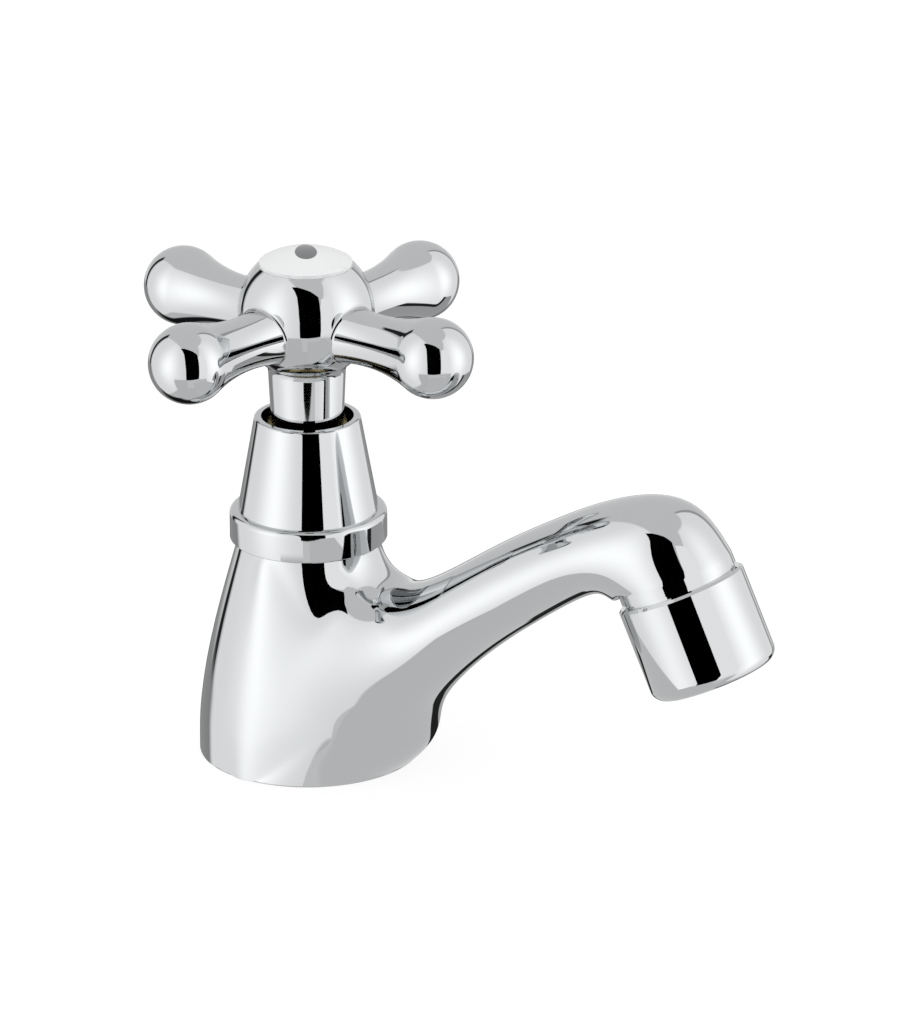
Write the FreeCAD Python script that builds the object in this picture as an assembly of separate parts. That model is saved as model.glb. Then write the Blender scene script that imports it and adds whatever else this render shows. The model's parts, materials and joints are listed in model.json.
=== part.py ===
"""A basin pillar tap with a cross handle, made as an assembly of separate solids.

Lengths are in millimetres and angles in degrees. The origin is the centre of the base on
the basin's deck, +Z points up, and +X points from the trunk to the outlet of the spout.
The tap stands closed: the valve washer rests on its seat.
"""
import FreeCAD, Part
import math
import os

Vec = FreeCAD.Vector
UP = Vec(0, 0, 1)

# Shared details
EDGE_CHAMFER = 0.3      # on turned edges of the inner pieces
HEX_TURNED = 0.985      # radius that a hexagon's corners are turned down to, as a share
HEX_CHAMFER = 0.06      # chamfer of a hexagon's ends, as a share of its corner's radius

# Clearances
RUN_GAP = 0.06          # radial, between pieces that turn or slide in each other
THREAD_GAP = 0.07       # radial, between screwed pieces, whose threads are plain or ringed
FIT_GAP = 0.05          # between pieces that are pushed together
SEAT_GAP = 0.02         # between the closed valve washer and its seat

# Trunk of the body
BASE_RADIUS = 21.55
BASE_EDGE = 0.6         # rounding of the lower edge
BELLY_HEIGHT = 3.0      # the trunk is upright up to here
BELLY_PULL = 13.0       # how far the upright direction carries into the curve
TRUNK_HEIGHT = 43.5
TRUNK_TOP_RADIUS = 13.6
TRUNK_TOP_SLOPE = 0.28  # radius lost per millimetre of height, at the top
TRUNK_TOP_PULL = 13.2

# Spout: oval sections along its way, each with its centre's x and z as shares of the nozzle's,
# the climb of the spout there, half its height and half its width
SPOUT_SECTIONS = [
    (0.050, 0.265, 38.0, 16.0, 15.0),
    (0.124, 0.326, 38.0, 20.2, 17.0),
    (0.273, 0.489, 37.0, 11.5, 13.5),
    (0.422, 0.686, 38.0, 8.9, 11.5),
    (0.571, 0.866, 32.0, 8.2, 10.7),
    (0.720, 1.022, 27.0, 7.8, 10.6),
    (0.826, 1.094, 3.0, 8.8, 11.0),
    (0.938, 1.106, -34.0, 12.2, 11.3),
    (0.986, 1.043, -50.0, 11.8, 11.4),
]
OVAL_POINTS = 12        # points that each smooth oval passes through
SPOUT_WALL = 2.6
WATERWAY_SHELL = 3      # the first section that the waterway follows at the wall's distance
WATERWAY_START = (7.0, 3.0, 15.0, 4.5, 6.0)    # its x and z in millimetres, from the valve seat
WATERWAY_TURN = (0.273, 0.521, 37.0, 6.2, 7.5)
WATERWAY_STEP = 0.5     # radius gained where the waterway meets the nozzle's bore

# Nozzle at the spout's end: the centre of its shoulder and its lean from the vertical
NOZZLE_X = 80.5
NOZZLE_Z = 49.1
NOZZLE_LEAN = 24.9
NOZZLE_RADIUS = 11.4
NOZZLE_THREAD_RADIUS = 10.9
NOZZLE_THREAD_LENGTH = 7.0
NOZZLE_THREAD_ROOT = 2.0    # how far the thread's core starts inside the spout
NOZZLE_THREAD_CHAMFER = 0.4
NOZZLE_BORE = 8.4
NOZZLE_BORE_DEPTH = 1.0     # how far the bore goes into the spout

# Valve seat and chamber in the trunk
SEAT_DEPTH = 21.5       # below the trunk's top
SEAT_BORE = 4.8
SEAT_LIP_RADIUS = 6.6
SEAT_LIP_HEIGHT = 3.0
CHAMBER_RADIUS = 11.8
CHAMBER_OVERLAP = 1.0   # how far the chamber reaches up round the bonnet's shank
MOUTH_RADIUS = 10.25    # threaded mouth that takes the headwork

# Tail that carries the water in, with its thread
TAIL_RADIUS = 10.48
TAIL_BORE = 6.6
TAIL_REACH = 48.0       # below the deck's top
TAIL_SOCKET_DEPTH = 12.0
TAIL_PLAIN_LENGTH = 13.0
TAIL_CHAMFER = 0.8
TAIL_SEAL_THICKNESS = 1.5
TAIL_SEAL_BORE = 7.4
THREAD_PITCH = 1.814
THREAD_DEPTH = 0.9
THREAD_SHARES = (0.1, 0.3, 0.6, 0.8)    # of the pitch: crest's ends, then root's ends

# Underside of the base
BASE_WALL = 4.05        # between the base's side and its hollow
HOLLOW_HEIGHT = 14.0
SOCKET_WALL = 2.6
GASKET_THICKNESS = 2.0
GASKET_INSET = 2.55     # between the base's side and the gasket's edge
GASKET_BORE = 11.0

# What clamps the tap under the deck
DECK_THICKNESS = 20.0
DECK_WASHER_RADIUS = 19.0
DECK_WASHER_THICKNESS = 3.0
PLATE_WASHER_RADIUS = 18.0
PLATE_WASHER_THICKNESS = 1.6
WASHER_SLACK = 0.3      # radial, round the tail
BACKNUT_FLATS = 30.0
BACKNUT_HEIGHT = 8.0

# Headwork bonnet
BONNET_SHANK = 13.5     # reaches this far down from the trunk's top
BONNET_SEAL_THICKNESS = 1.0
BONNET_FLANGE_RADIUS = 12.9
BONNET_FLANGE_HEIGHT = 4.5
BONNET_FLATS = 19.0
BONNET_HEX_HEIGHT = 4.5
BONNET_NECK_RADIUS = 7.4
BONNET_NECK_HEIGHT = 5.5
BONNET_LOWER_BORE = 8.2
BONNET_LOWER_DEPTH = 6.0
BONNET_ROOF = 3.0       # between the thread's chamber and the packing

# Spindle
SPINDLE_INSET = 1.0     # between the shank's lower end and the spindle's foot
SPINDLE_FOOT_RADIUS = 5.0
SPINDLE_FOOT_HEIGHT = 4.0
SPINDLE_THREAD_RADIUS = 5.5
SPINDLE_LIFT_ROOM = 5.5     # above the thread, for the spindle to rise
SPINDLE_STEM_RADIUS = 4.0
SPINDLE_END_GAP = 0.5   # between the spindle's end and the handle's web
SPLINE_LEAD = 1.0       # the teeth start this far below the handle's bush
SPLINE_TEETH = 20
SPLINE_DEPTH = 0.4

# Gland round the spindle
PACKING_CHAMBER_RADIUS = 5.9
PACKING_WASHER_THICKNESS = 1.0
PACKING_RING_COUNT = 2
GLAND_FLATS = 16.5
GLAND_STAND = 2.0       # between the bonnet's hexagon and the gland nut
GLAND_TOP_THICKNESS = 1.4
FOLLOWER_STAND = 0.6    # how far the follower stands above the neck

# Jumper valve
VALVE_WASHER_RADIUS = 6.9
VALVE_WASHER_THICKNESS = 3.0
JUMPER_PLATE_RADIUS = 7.2
JUMPER_PLATE_THICKNESS = 2.5
JUMPER_BOSS_RADIUS = 4.7
JUMPER_STEM_RADIUS = 3.2
JUMPER_STEM_HEIGHT = 6.5
JUMPER_STUD_RADIUS = 1.5
JUMPER_NUT_FLATS = 5.5
JUMPER_NUT_HEIGHT = 1.6

# Shroud: collar and cone over the headwork
COLLAR_RADIUS = 15.15
COLLAR_HEIGHT = 6.2
COLLAR_ROUND = 1.1
COLLAR_CHAMFER = 0.4
CONE_LOW_RADIUS = 13.5
CONE_TOP_RADIUS = 10.25
SHROUD_HEIGHT = 24.8    # above the trunk's top
RIM_RADIUS = 8.9
RIM_BEVEL = 0.5
SHROUD_WALL = 1.4

# Cross handle
SKIRT_RADIUS = 7.43
SKIRT_BORE = 6.4
SKIRT_DIP = 6.5         # how far the skirt reaches down into the shroud
HUB_RADIUS = 13.1
HUB_RISE = 45.8         # centre of the hub's ball above the trunk's top
HUB_COVE = 2.2          # hollow rounding between ball and skirt
WEB_DROP = 3.3          # lower face of the inner web below the ball's centre
WEB_THICKNESS = 2.5
ARM_COUNT = 4
ARM_DROP = 2.0          # the arms' axes below the ball's centre
ARM_FIRST_ANGLE = 78.0
ARM_REACH = 40.0
ARM_BALL_RADIUS = 7.7
ARM_NECK_RADIUS = 5.15
ARM_NECK_AT = 17.5
ARM_ROOT_AT = 5.0
INSERT_LENGTH = 14.0

# Handle screw
SCREW_RADIUS = 2.0
SCREW_LENGTH = 12.0
SCREW_END_ROOM = 1.0    # left below the screw's end in the spindle
SCREW_HEAD_RADIUS = 3.8
SCREW_HEAD_HEIGHT = 2.4
SCREW_HEAD_CHAMFER = 1.0
SCREW_SLOT_WIDTH = 0.9
SCREW_SLOT_SPAN = 4.4
SCREW_SLOT_DEPTH = 1.2

# Index button in the hub's top
INDEX_RADIUS = 9.1
INDEX_DOME = 3.1
INDEX_RIM = 0.6
INDEX_SPIGOT_RADIUS = 8.4
INDEX_SPIGOT_DEPTH = 3.2
INDEX_WALL = 1.2

# Aerator, measured along the nozzle from the sleeve's upper edge
SLEEVE_GAP = 0.75       # groove between nozzle and sleeve
SLEEVE_RADIUS = 12.4
SLEEVE_LENGTH = 18.8
SLEEVE_TOP_CHAMFER = 0.5
SLEEVE_ROUND = 2.4
SLEEVE_LIP_RADIUS = 8.8
SLEEVE_LIP_THICKNESS = 1.5
AERATOR_WASHER_THICKNESS = 1.6
CAGE_FLANGE_THICKNESS = 1.4
CAGE_RADIUS = 9.6
CAGE_WALL = 1.2
SCREEN_COUNT = 2
SCREEN_THICKNESS = 0.3
SCREEN_SPACING = 1.2
GRID_THICKNESS = 2.0
GRID_HOLE_RADIUS = 0.85
GRID_PITCH = 2.4
GRID_RINGS = 2

# Heights and radii that follow from the sizes above
HOLLOW_RADIUS = BASE_RADIUS - BASE_WALL
GASKET_RADIUS = BASE_RADIUS - GASKET_INSET
SEAT_HEIGHT = TRUNK_HEIGHT - SEAT_DEPTH
BONNET_LOW = TRUNK_HEIGHT - BONNET_SHANK
CHAMBER_TOP = BONNET_LOW + CHAMBER_OVERLAP
FLANGE_LOW = TRUNK_HEIGHT + BONNET_SEAL_THICKNESS
FLANGE_HIGH = FLANGE_LOW + BONNET_FLANGE_HEIGHT
HEX_HIGH = FLANGE_HIGH + BONNET_HEX_HEIGHT
NECK_HIGH = HEX_HIGH + BONNET_NECK_HEIGHT
THREAD_CHAMBER_TOP = HEX_HIGH - BONNET_ROOF
FOLLOWER_HIGH = NECK_HIGH + FOLLOWER_STAND
GLAND_LOW = HEX_HIGH + GLAND_STAND
WASHER_LOW = SEAT_HEIGHT + SEAT_GAP
PLATE_LOW = WASHER_LOW + VALVE_WASHER_THICKNESS
PLATE_HIGH = PLATE_LOW + JUMPER_PLATE_THICKNESS
SHROUD_TOP = TRUNK_HEIGHT + SHROUD_HEIGHT
SKIRT_LOW = SHROUD_TOP - SKIRT_DIP
HUB_HEIGHT = TRUNK_HEIGHT + HUB_RISE
ARM_HEIGHT = HUB_HEIGHT - ARM_DROP
WEB_LOW = HUB_HEIGHT - WEB_DROP
WEB_HIGH = WEB_LOW + WEB_THICKNESS
INSERT_LOW = WEB_LOW - INSERT_LENGTH
SPINDLE_LOW = BONNET_LOW + SPINDLE_INSET
SPINDLE_THREAD_LOW = SPINDLE_LOW + SPINDLE_FOOT_HEIGHT
SPINDLE_THREAD_HIGH = THREAD_CHAMBER_TOP - SPINDLE_LIFT_ROOM
SPINDLE_TOP = WEB_LOW - SPINDLE_END_GAP
SPLINE_LOW = INSERT_LOW - SPLINE_LEAD
INDEX_HEIGHT = HUB_HEIGHT + math.sqrt(HUB_RADIUS ** 2 - INDEX_RADIUS ** 2)
COLLAR_TOP = TRUNK_HEIGHT + COLLAR_HEIGHT
STEM_BORE = SPINDLE_STEM_RADIUS + RUN_GAP
SLEEVE_BORE = NOZZLE_THREAD_RADIUS + THREAD_GAP
SLEEVE_FLOOR = SLEEVE_LENGTH - SLEEVE_LIP_THICKNESS
AERATOR_WASHER_LOW = NOZZLE_THREAD_LENGTH - SLEEVE_GAP
CAGE_LOW = AERATOR_WASHER_LOW + AERATOR_WASHER_THICKNESS
CAGE_BORE = CAGE_RADIUS - CAGE_WALL


def rod(radius, low, high):
    """Upright cylinder between two heights."""
    return Part.makeCylinder(radius, high - low, Vec(0, 0, low))


def ring(outer, inner, low, high):
    """Upright tube between two heights."""
    return rod(outer, low, high).cut(rod(inner, low, high))


def hexagon(flats, low, high):
    """Upright hexagonal bar with its corners slightly turned down."""
    corner = flats / math.sqrt(3)
    points = []
    for i in range(7):
        turn = math.radians(60 * i)
        points.append(Vec(corner * math.cos(turn), corner * math.sin(turn), low))
    bar = Part.Face(Part.makePolygon(points)).extrude(Vec(0, 0, high - low))
    return bar.common(barrel(corner * HEX_TURNED, low, high, corner * HEX_CHAMFER))


def barrel(radius, low, high, chamfer):
    """Upright cylinder with a chamfer at each end."""
    return turned([(0, low), (radius - chamfer, low), (radius, low + chamfer),
                   (radius, high - chamfer), (radius - chamfer, high), (0, high)])


def turned(points):
    """Solid of revolution about Z from a closed outline of (radius, height) points."""
    outline = [Vec(radius, 0, height) for radius, height in points]
    return turned_edges([Part.makePolygon(outline + outline[:1])])


def turned_edges(edges):
    """Solid of revolution about Z from the edges of a closed outline in the XZ plane."""
    wire = Part.Wire([edge for shape in edges for edge in shape.Edges])
    return Part.Face(wire).revolve(Vec(), UP, 360)


def line(*points):
    """Straight edges through (radius, height) points."""
    return Part.makePolygon([Vec(radius, 0, height) for radius, height in points])


def arc(start, middle, end):
    """Circular edge through three (radius, height) points."""
    return Part.Arc(*[Vec(radius, 0, height) for radius, height in (start, middle, end)]).toShape()


def on_circle(centre, radius, angle):
    """Point on a circle in the outline's plane, as (radius, height)."""
    turn = math.radians(angle)
    return centre[0] + radius * math.cos(turn), centre[1] + radius * math.sin(turn)


def at_nozzle(shape):
    """Move a shape from the origin to the nozzle's shoulder, its +Z turned along the flow."""
    place = FreeCAD.Placement(Vec(NOZZLE_X, 0, NOZZLE_Z),
                              FreeCAD.Rotation(Vec(0, 1, 0), 180 - NOZZLE_LEAN))
    moved = shape.copy()
    moved.Placement = place * moved.Placement
    return moved


def at_sleeve(shape):
    """Move a shape from the origin to the sleeve's upper edge, its +Z turned along the flow."""
    return at_nozzle(shape.translated(Vec(0, 0, SLEEVE_GAP)))


def oval(x, z, climb, half_height, half_width):
    """Closed oval across the spout about a point, where the spout climbs at the given angle."""
    turn = math.radians(climb)
    up = Vec(-math.sin(turn), 0, math.cos(turn)) * half_height
    side = Vec(0, half_width, 0)
    points = []
    for i in range(OVAL_POINTS):
        around = 2 * math.pi * i / OVAL_POINTS
        points.append(Vec(x, 0, z) + up * math.cos(around) + side * math.sin(around))
    curve = Part.BSplineCurve()
    curve.interpolate(points, PeriodicFlag=True)
    return Part.Wire(curve.toShape())


def spout_oval(values, inset=0.0):
    """Oval of one of the spout's sections, drawn in by a wall where it is the waterway's."""
    along, height, climb, half_height, half_width = values
    return oval(along * NOZZLE_X, height * NOZZLE_Z, climb, half_height - inset, half_width - inset)


def ringed_thread(radius, low, high, pitch, depth):
    """Outline of a thread as a row of rings, from low to high."""
    crest_from, crest_to, root_from, root_to = THREAD_SHARES
    count = int((high - low) / pitch)
    points = []
    for i in range(count):
        start = low + i * pitch
        points += [(radius, start + crest_from * pitch), (radius, start + crest_to * pitch),
                   (radius - depth, start + root_from * pitch), (radius - depth, start + root_to * pitch)]
    return points


def trunk():
    """Round trunk of the body, which narrows upwards in one smooth curve."""
    foot = BASE_RADIUS - BASE_EDGE
    top = TRUNK_TOP_RADIUS + TRUNK_TOP_SLOPE * TRUNK_TOP_PULL
    side = Part.BezierCurve()
    side.setPoles([Vec(BASE_RADIUS, 0, BELLY_HEIGHT), Vec(BASE_RADIUS, 0, BELLY_HEIGHT + BELLY_PULL),
                   Vec(top, 0, TRUNK_HEIGHT - TRUNK_TOP_PULL), Vec(TRUNK_TOP_RADIUS, 0, TRUNK_HEIGHT)])
    return turned_edges([
        line((TRUNK_TOP_RADIUS, TRUNK_HEIGHT), (0, TRUNK_HEIGHT), (0, 0), (foot, 0)),
        arc((foot, 0), on_circle((foot, BASE_EDGE), BASE_EDGE, -45), (BASE_RADIUS, BASE_EDGE)),
        line((BASE_RADIUS, BASE_EDGE), (BASE_RADIUS, BELLY_HEIGHT)),
        side.toShape()])


def spout():
    """Outside of the spout, from inside the trunk to the nozzle's shoulder."""
    sections = [spout_oval(values) for values in SPOUT_SECTIONS]
    sections.append(oval(NOZZLE_X, NOZZLE_Z, NOZZLE_LEAN - 90, NOZZLE_RADIUS, NOZZLE_RADIUS))
    above_deck = Part.makeBox(4 * NOZZLE_X, 4 * NOZZLE_X, 4 * NOZZLE_Z, Vec(-NOZZLE_X, -2 * NOZZLE_X, 0))
    return Part.makeLoft(sections, True).common(above_deck)


def waterway():
    """Inside of the spout, from the valve chamber to the nozzle's bore."""
    start_x, start_rise, climb, half_height, half_width = WATERWAY_START
    sections = [oval(start_x, SEAT_HEIGHT + start_rise, climb, half_height, half_width),
                spout_oval(WATERWAY_TURN)]
    sections += [spout_oval(values, SPOUT_WALL) for values in SPOUT_SECTIONS[WATERWAY_SHELL:]]
    end = NOZZLE_BORE - WATERWAY_STEP
    sections.append(oval(NOZZLE_X, NOZZLE_Z, NOZZLE_LEAN - 90, end, end))
    return Part.makeLoft(sections, True)


def body_casting():
    """One casting: trunk, spout, nozzle thread, valve seat and waterways."""
    floor = SEAT_HEIGHT - SEAT_LIP_HEIGHT
    chamber = rod(CHAMBER_RADIUS, floor, CHAMBER_TOP).cut(rod(SEAT_LIP_RADIUS, floor, SEAT_HEIGHT))
    inlet = rod(TAIL_RADIUS + THREAD_GAP, 0, TAIL_SOCKET_DEPTH)
    passage = rod(SEAT_BORE, TAIL_SOCKET_DEPTH, SEAT_HEIGHT)
    mouth = rod(MOUTH_RADIUS, CHAMBER_TOP, TRUNK_HEIGHT)
    hollow = ring(HOLLOW_RADIUS, TAIL_RADIUS + SOCKET_WALL, 0, HOLLOW_HEIGHT)
    recess = rod(GASKET_RADIUS + FIT_GAP, 0, GASKET_THICKNESS)
    seat = ring(SEAT_LIP_RADIUS, SEAT_BORE, floor, SEAT_HEIGHT)
    thread = at_nozzle(barrel(NOZZLE_THREAD_RADIUS, -NOZZLE_THREAD_ROOT, NOZZLE_THREAD_LENGTH,
                              NOZZLE_THREAD_CHAMFER))
    bore = at_nozzle(rod(NOZZLE_BORE, -NOZZLE_BORE_DEPTH, NOZZLE_THREAD_LENGTH))
    solid = trunk().fuse(spout()).fuse(thread)
    solid = solid.cut(waterway()).cut(bore).cut(chamber).cut(mouth)
    solid = solid.fuse(seat)
    return solid.cut(inlet).cut(passage).cut(hollow).cut(recess)


def inlet_tail():
    """Threaded pipe that carries the water up into the base, open at both ends."""
    top = TAIL_SOCKET_DEPTH - TAIL_SEAL_THICKNESS
    plain_top = TAIL_PLAIN_LENGTH - TAIL_REACH
    points = [(TAIL_BORE, -TAIL_REACH), (TAIL_RADIUS - TAIL_CHAMFER, -TAIL_REACH),
              (TAIL_RADIUS, TAIL_CHAMFER - TAIL_REACH), (TAIL_RADIUS, plain_top)]
    points += ringed_thread(TAIL_RADIUS, plain_top, top, THREAD_PITCH, THREAD_DEPTH)
    points += [(TAIL_RADIUS - THREAD_DEPTH, top), (TAIL_BORE, top)]
    return turned(points)


def tail_seal():
    """Flat ring between the tail's upper end and the body."""
    return ring(TAIL_RADIUS - FIT_GAP, TAIL_SEAL_BORE, TAIL_SOCKET_DEPTH - TAIL_SEAL_THICKNESS,
                TAIL_SOCKET_DEPTH)


def base_gasket():
    """Gasket in the underside of the base, flush with the deck."""
    return ring(GASKET_RADIUS, GASKET_BORE, 0, GASKET_THICKNESS)


def deck_washer():
    """Rubber washer under the deck."""
    return ring(DECK_WASHER_RADIUS, TAIL_RADIUS + WASHER_SLACK,
                -DECK_THICKNESS - DECK_WASHER_THICKNESS, -DECK_THICKNESS)


def plate_washer():
    """Steel washer between the rubber washer and the nut."""
    high = -DECK_THICKNESS - DECK_WASHER_THICKNESS
    return ring(PLATE_WASHER_RADIUS, TAIL_RADIUS + WASHER_SLACK, high - PLATE_WASHER_THICKNESS, high)


def backnut():
    """Hexagonal nut that clamps the tap to the deck."""
    high = -DECK_THICKNESS - DECK_WASHER_THICKNESS - PLATE_WASHER_THICKNESS
    low = high - BACKNUT_HEIGHT
    return hexagon(BACKNUT_FLATS, low, high).cut(rod(TAIL_RADIUS + THREAD_GAP, low, high))


def bonnet_seal():
    """Flat ring between the bonnet's flange and the trunk's top."""
    return ring(BONNET_FLANGE_RADIUS, MOUTH_RADIUS, TRUNK_HEIGHT, FLANGE_LOW)


def headwork_bonnet():
    """Fixed housing of the valve: shank, flange, hexagon and neck."""
    lower_bore_top = BONNET_LOW + BONNET_LOWER_DEPTH
    solid = rod(MOUTH_RADIUS - THREAD_GAP, BONNET_LOW, FLANGE_HIGH)
    solid = solid.fuse(barrel(BONNET_FLANGE_RADIUS, FLANGE_LOW, FLANGE_HIGH, EDGE_CHAMFER))
    solid = solid.fuse(hexagon(BONNET_FLATS, FLANGE_HIGH, HEX_HIGH))
    solid = solid.fuse(rod(BONNET_NECK_RADIUS, HEX_HIGH, NECK_HIGH))
    for radius, low, high in (
            (BONNET_LOWER_BORE, BONNET_LOW, lower_bore_top),
            (SPINDLE_THREAD_RADIUS + RUN_GAP, lower_bore_top, THREAD_CHAMBER_TOP),
            (STEM_BORE, THREAD_CHAMBER_TOP, HEX_HIGH),
            (PACKING_CHAMBER_RADIUS, HEX_HIGH, NECK_HIGH)):
        solid = solid.cut(rod(radius, low, high))
    return solid


def packing_washer():
    """Thin ring under the packing."""
    return ring(PACKING_CHAMBER_RADIUS - FIT_GAP, STEM_BORE, HEX_HIGH,
                HEX_HIGH + PACKING_WASHER_THICKNESS)


def packing_rings():
    """Rubber O-rings round the spindle, one above the other."""
    low = HEX_HIGH + PACKING_WASHER_THICKNESS
    section = (PACKING_CHAMBER_RADIUS - FIT_GAP - STEM_BORE) / 2
    middle = STEM_BORE + section
    spacing = 2 * section + FIT_GAP
    rings = [Part.makeTorus(middle, section, Vec(0, 0, low + section + i * spacing))
             for i in range(PACKING_RING_COUNT)]
    return Part.makeCompound(rings)


def packing_follower():
    """Ring that the gland nut presses down on the packing."""
    section = (PACKING_CHAMBER_RADIUS - FIT_GAP - STEM_BORE) / 2
    low = HEX_HIGH + PACKING_WASHER_THICKNESS + PACKING_RING_COUNT * (2 * section + FIT_GAP)
    return ring(PACKING_CHAMBER_RADIUS - FIT_GAP, STEM_BORE, low, FOLLOWER_HIGH)


def gland_nut():
    """Hexagonal cap nut on the bonnet's neck."""
    high = FOLLOWER_HIGH + GLAND_TOP_THICKNESS
    solid = hexagon(GLAND_FLATS, GLAND_LOW, high)
    solid = solid.cut(rod(BONNET_NECK_RADIUS + THREAD_GAP, GLAND_LOW, FOLLOWER_HIGH))
    return solid.cut(rod(STEM_BORE, FOLLOWER_HIGH, high))


def splined(radius, low, high):
    """Upright bar with fine teeth, which turns the handle with the spindle."""
    step = 360.0 / SPLINE_TEETH
    points = []
    for i in range(SPLINE_TEETH):
        for share, length in ((0.0, radius), (0.25, radius), (0.5, radius - SPLINE_DEPTH),
                              (0.75, radius - SPLINE_DEPTH)):
            turn = math.radians((i + share) * step)
            points.append(Vec(length * math.cos(turn), length * math.sin(turn), low))
    outline = Part.makePolygon(points + points[:1])
    return Part.Face(outline).extrude(Vec(0, 0, high - low))


def spindle():
    """Rising spindle: hollow foot, thread, stem and splined top with a screw hole."""
    socket_top = SPINDLE_LOW + JUMPER_STEM_HEIGHT + RUN_GAP
    solid = rod(SPINDLE_FOOT_RADIUS, SPINDLE_LOW, SPINDLE_THREAD_LOW)
    solid = solid.fuse(barrel(SPINDLE_THREAD_RADIUS, SPINDLE_THREAD_LOW, SPINDLE_THREAD_HIGH, EDGE_CHAMFER))
    solid = solid.fuse(rod(SPINDLE_STEM_RADIUS, SPINDLE_THREAD_LOW, SPLINE_LOW))
    solid = solid.fuse(splined(SPINDLE_STEM_RADIUS, SPLINE_LOW, SPINDLE_TOP))
    solid = solid.cut(rod(JUMPER_STEM_RADIUS + RUN_GAP, SPINDLE_LOW, socket_top))
    hole_low = WEB_HIGH - SCREW_LENGTH - SCREW_END_ROOM
    return solid.cut(rod(SCREW_RADIUS + FIT_GAP, hole_low, SPINDLE_TOP))


def jumper_valve():
    """Plate that carries the washer, with a stem in the spindle's foot and a stud below."""
    stud_low = WASHER_LOW - JUMPER_NUT_HEIGHT - FIT_GAP
    solid = rod(JUMPER_STUD_RADIUS, stud_low, PLATE_HIGH)
    solid = solid.fuse(barrel(JUMPER_PLATE_RADIUS, PLATE_LOW, PLATE_HIGH, EDGE_CHAMFER))
    solid = solid.fuse(rod(JUMPER_BOSS_RADIUS, PLATE_HIGH, SPINDLE_LOW - SEAT_GAP))
    return solid.fuse(rod(JUMPER_STEM_RADIUS, PLATE_HIGH, SPINDLE_LOW + JUMPER_STEM_HEIGHT))


def valve_washer():
    """Rubber washer that closes the seat."""
    return ring(VALVE_WASHER_RADIUS, JUMPER_STUD_RADIUS + FIT_GAP, WASHER_LOW, PLATE_LOW)


def jumper_nut():
    """Small nut that holds the washer on the jumper."""
    low = WASHER_LOW - JUMPER_NUT_HEIGHT
    bore = rod(JUMPER_STUD_RADIUS + FIT_GAP, low, WASHER_LOW)
    return hexagon(JUMPER_NUT_FLATS, low, WASHER_LOW).cut(bore)


def shroud():
    """Collar and cone in one piece, screwed over the bonnet's flange."""
    bevel_z = SHROUD_TOP - RIM_BEVEL
    round_centre = (COLLAR_RADIUS - COLLAR_ROUND, COLLAR_TOP - COLLAR_ROUND)
    rim_centre = (CONE_TOP_RADIUS - RIM_BEVEL, bevel_z)
    bore = BONNET_FLANGE_RADIUS + THREAD_GAP
    shoulder = FLANGE_HIGH + FIT_GAP
    return turned_edges([
        line((bore, TRUNK_HEIGHT), (COLLAR_RADIUS - COLLAR_CHAMFER, TRUNK_HEIGHT),
             (COLLAR_RADIUS, TRUNK_HEIGHT + COLLAR_CHAMFER), (COLLAR_RADIUS, COLLAR_TOP - COLLAR_ROUND)),
        arc((COLLAR_RADIUS, COLLAR_TOP - COLLAR_ROUND), on_circle(round_centre, COLLAR_ROUND, 45),
            (COLLAR_RADIUS - COLLAR_ROUND, COLLAR_TOP)),
        line((COLLAR_RADIUS - COLLAR_ROUND, COLLAR_TOP), (CONE_LOW_RADIUS, COLLAR_TOP),
             (CONE_TOP_RADIUS, bevel_z)),
        arc((CONE_TOP_RADIUS, bevel_z), on_circle(rim_centre, RIM_BEVEL, 45),
            (CONE_TOP_RADIUS - RIM_BEVEL, SHROUD_TOP)),
        line((CONE_TOP_RADIUS - RIM_BEVEL, SHROUD_TOP), (RIM_RADIUS, SHROUD_TOP),
             (CONE_TOP_RADIUS - SHROUD_WALL, bevel_z), (CONE_LOW_RADIUS - SHROUD_WALL, shoulder),
             (bore, shoulder), (bore, TRUNK_HEIGHT))])


def handle_arm(angle):
    """One arm: a stem that swells smoothly into a ball, turned to its angle."""
    ball = ARM_REACH - ARM_BALL_RADIUS
    span = ball - ARM_NECK_AT
    # The stem's hollow arc touches the ball and is thinnest at the neck.
    hollow = ((span ** 2 + ARM_NECK_RADIUS ** 2 - ARM_BALL_RADIUS ** 2)
              / (2 * (ARM_BALL_RADIUS - ARM_NECK_RADIUS)))
    lift = ARM_NECK_RADIUS + hollow
    reach = hollow + ARM_BALL_RADIUS
    touch = (ARM_BALL_RADIUS * lift / reach, ball - ARM_BALL_RADIUS * span / reach)
    root = (lift - math.sqrt(hollow ** 2 - (ARM_NECK_AT - ARM_ROOT_AT) ** 2), ARM_ROOT_AT)
    arm = turned_edges([
        line((0, ARM_REACH), (0, ARM_ROOT_AT), root),
        arc(root, (ARM_NECK_RADIUS, ARM_NECK_AT), touch),
        arc(touch, (ARM_BALL_RADIUS, ball), (0, ARM_REACH))])
    arm.Placement = FreeCAD.Placement(Vec(0, 0, ARM_HEIGHT),
                                      FreeCAD.Rotation(UP, angle) * FreeCAD.Rotation(Vec(0, 1, 0), 90))
    return arm


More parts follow.
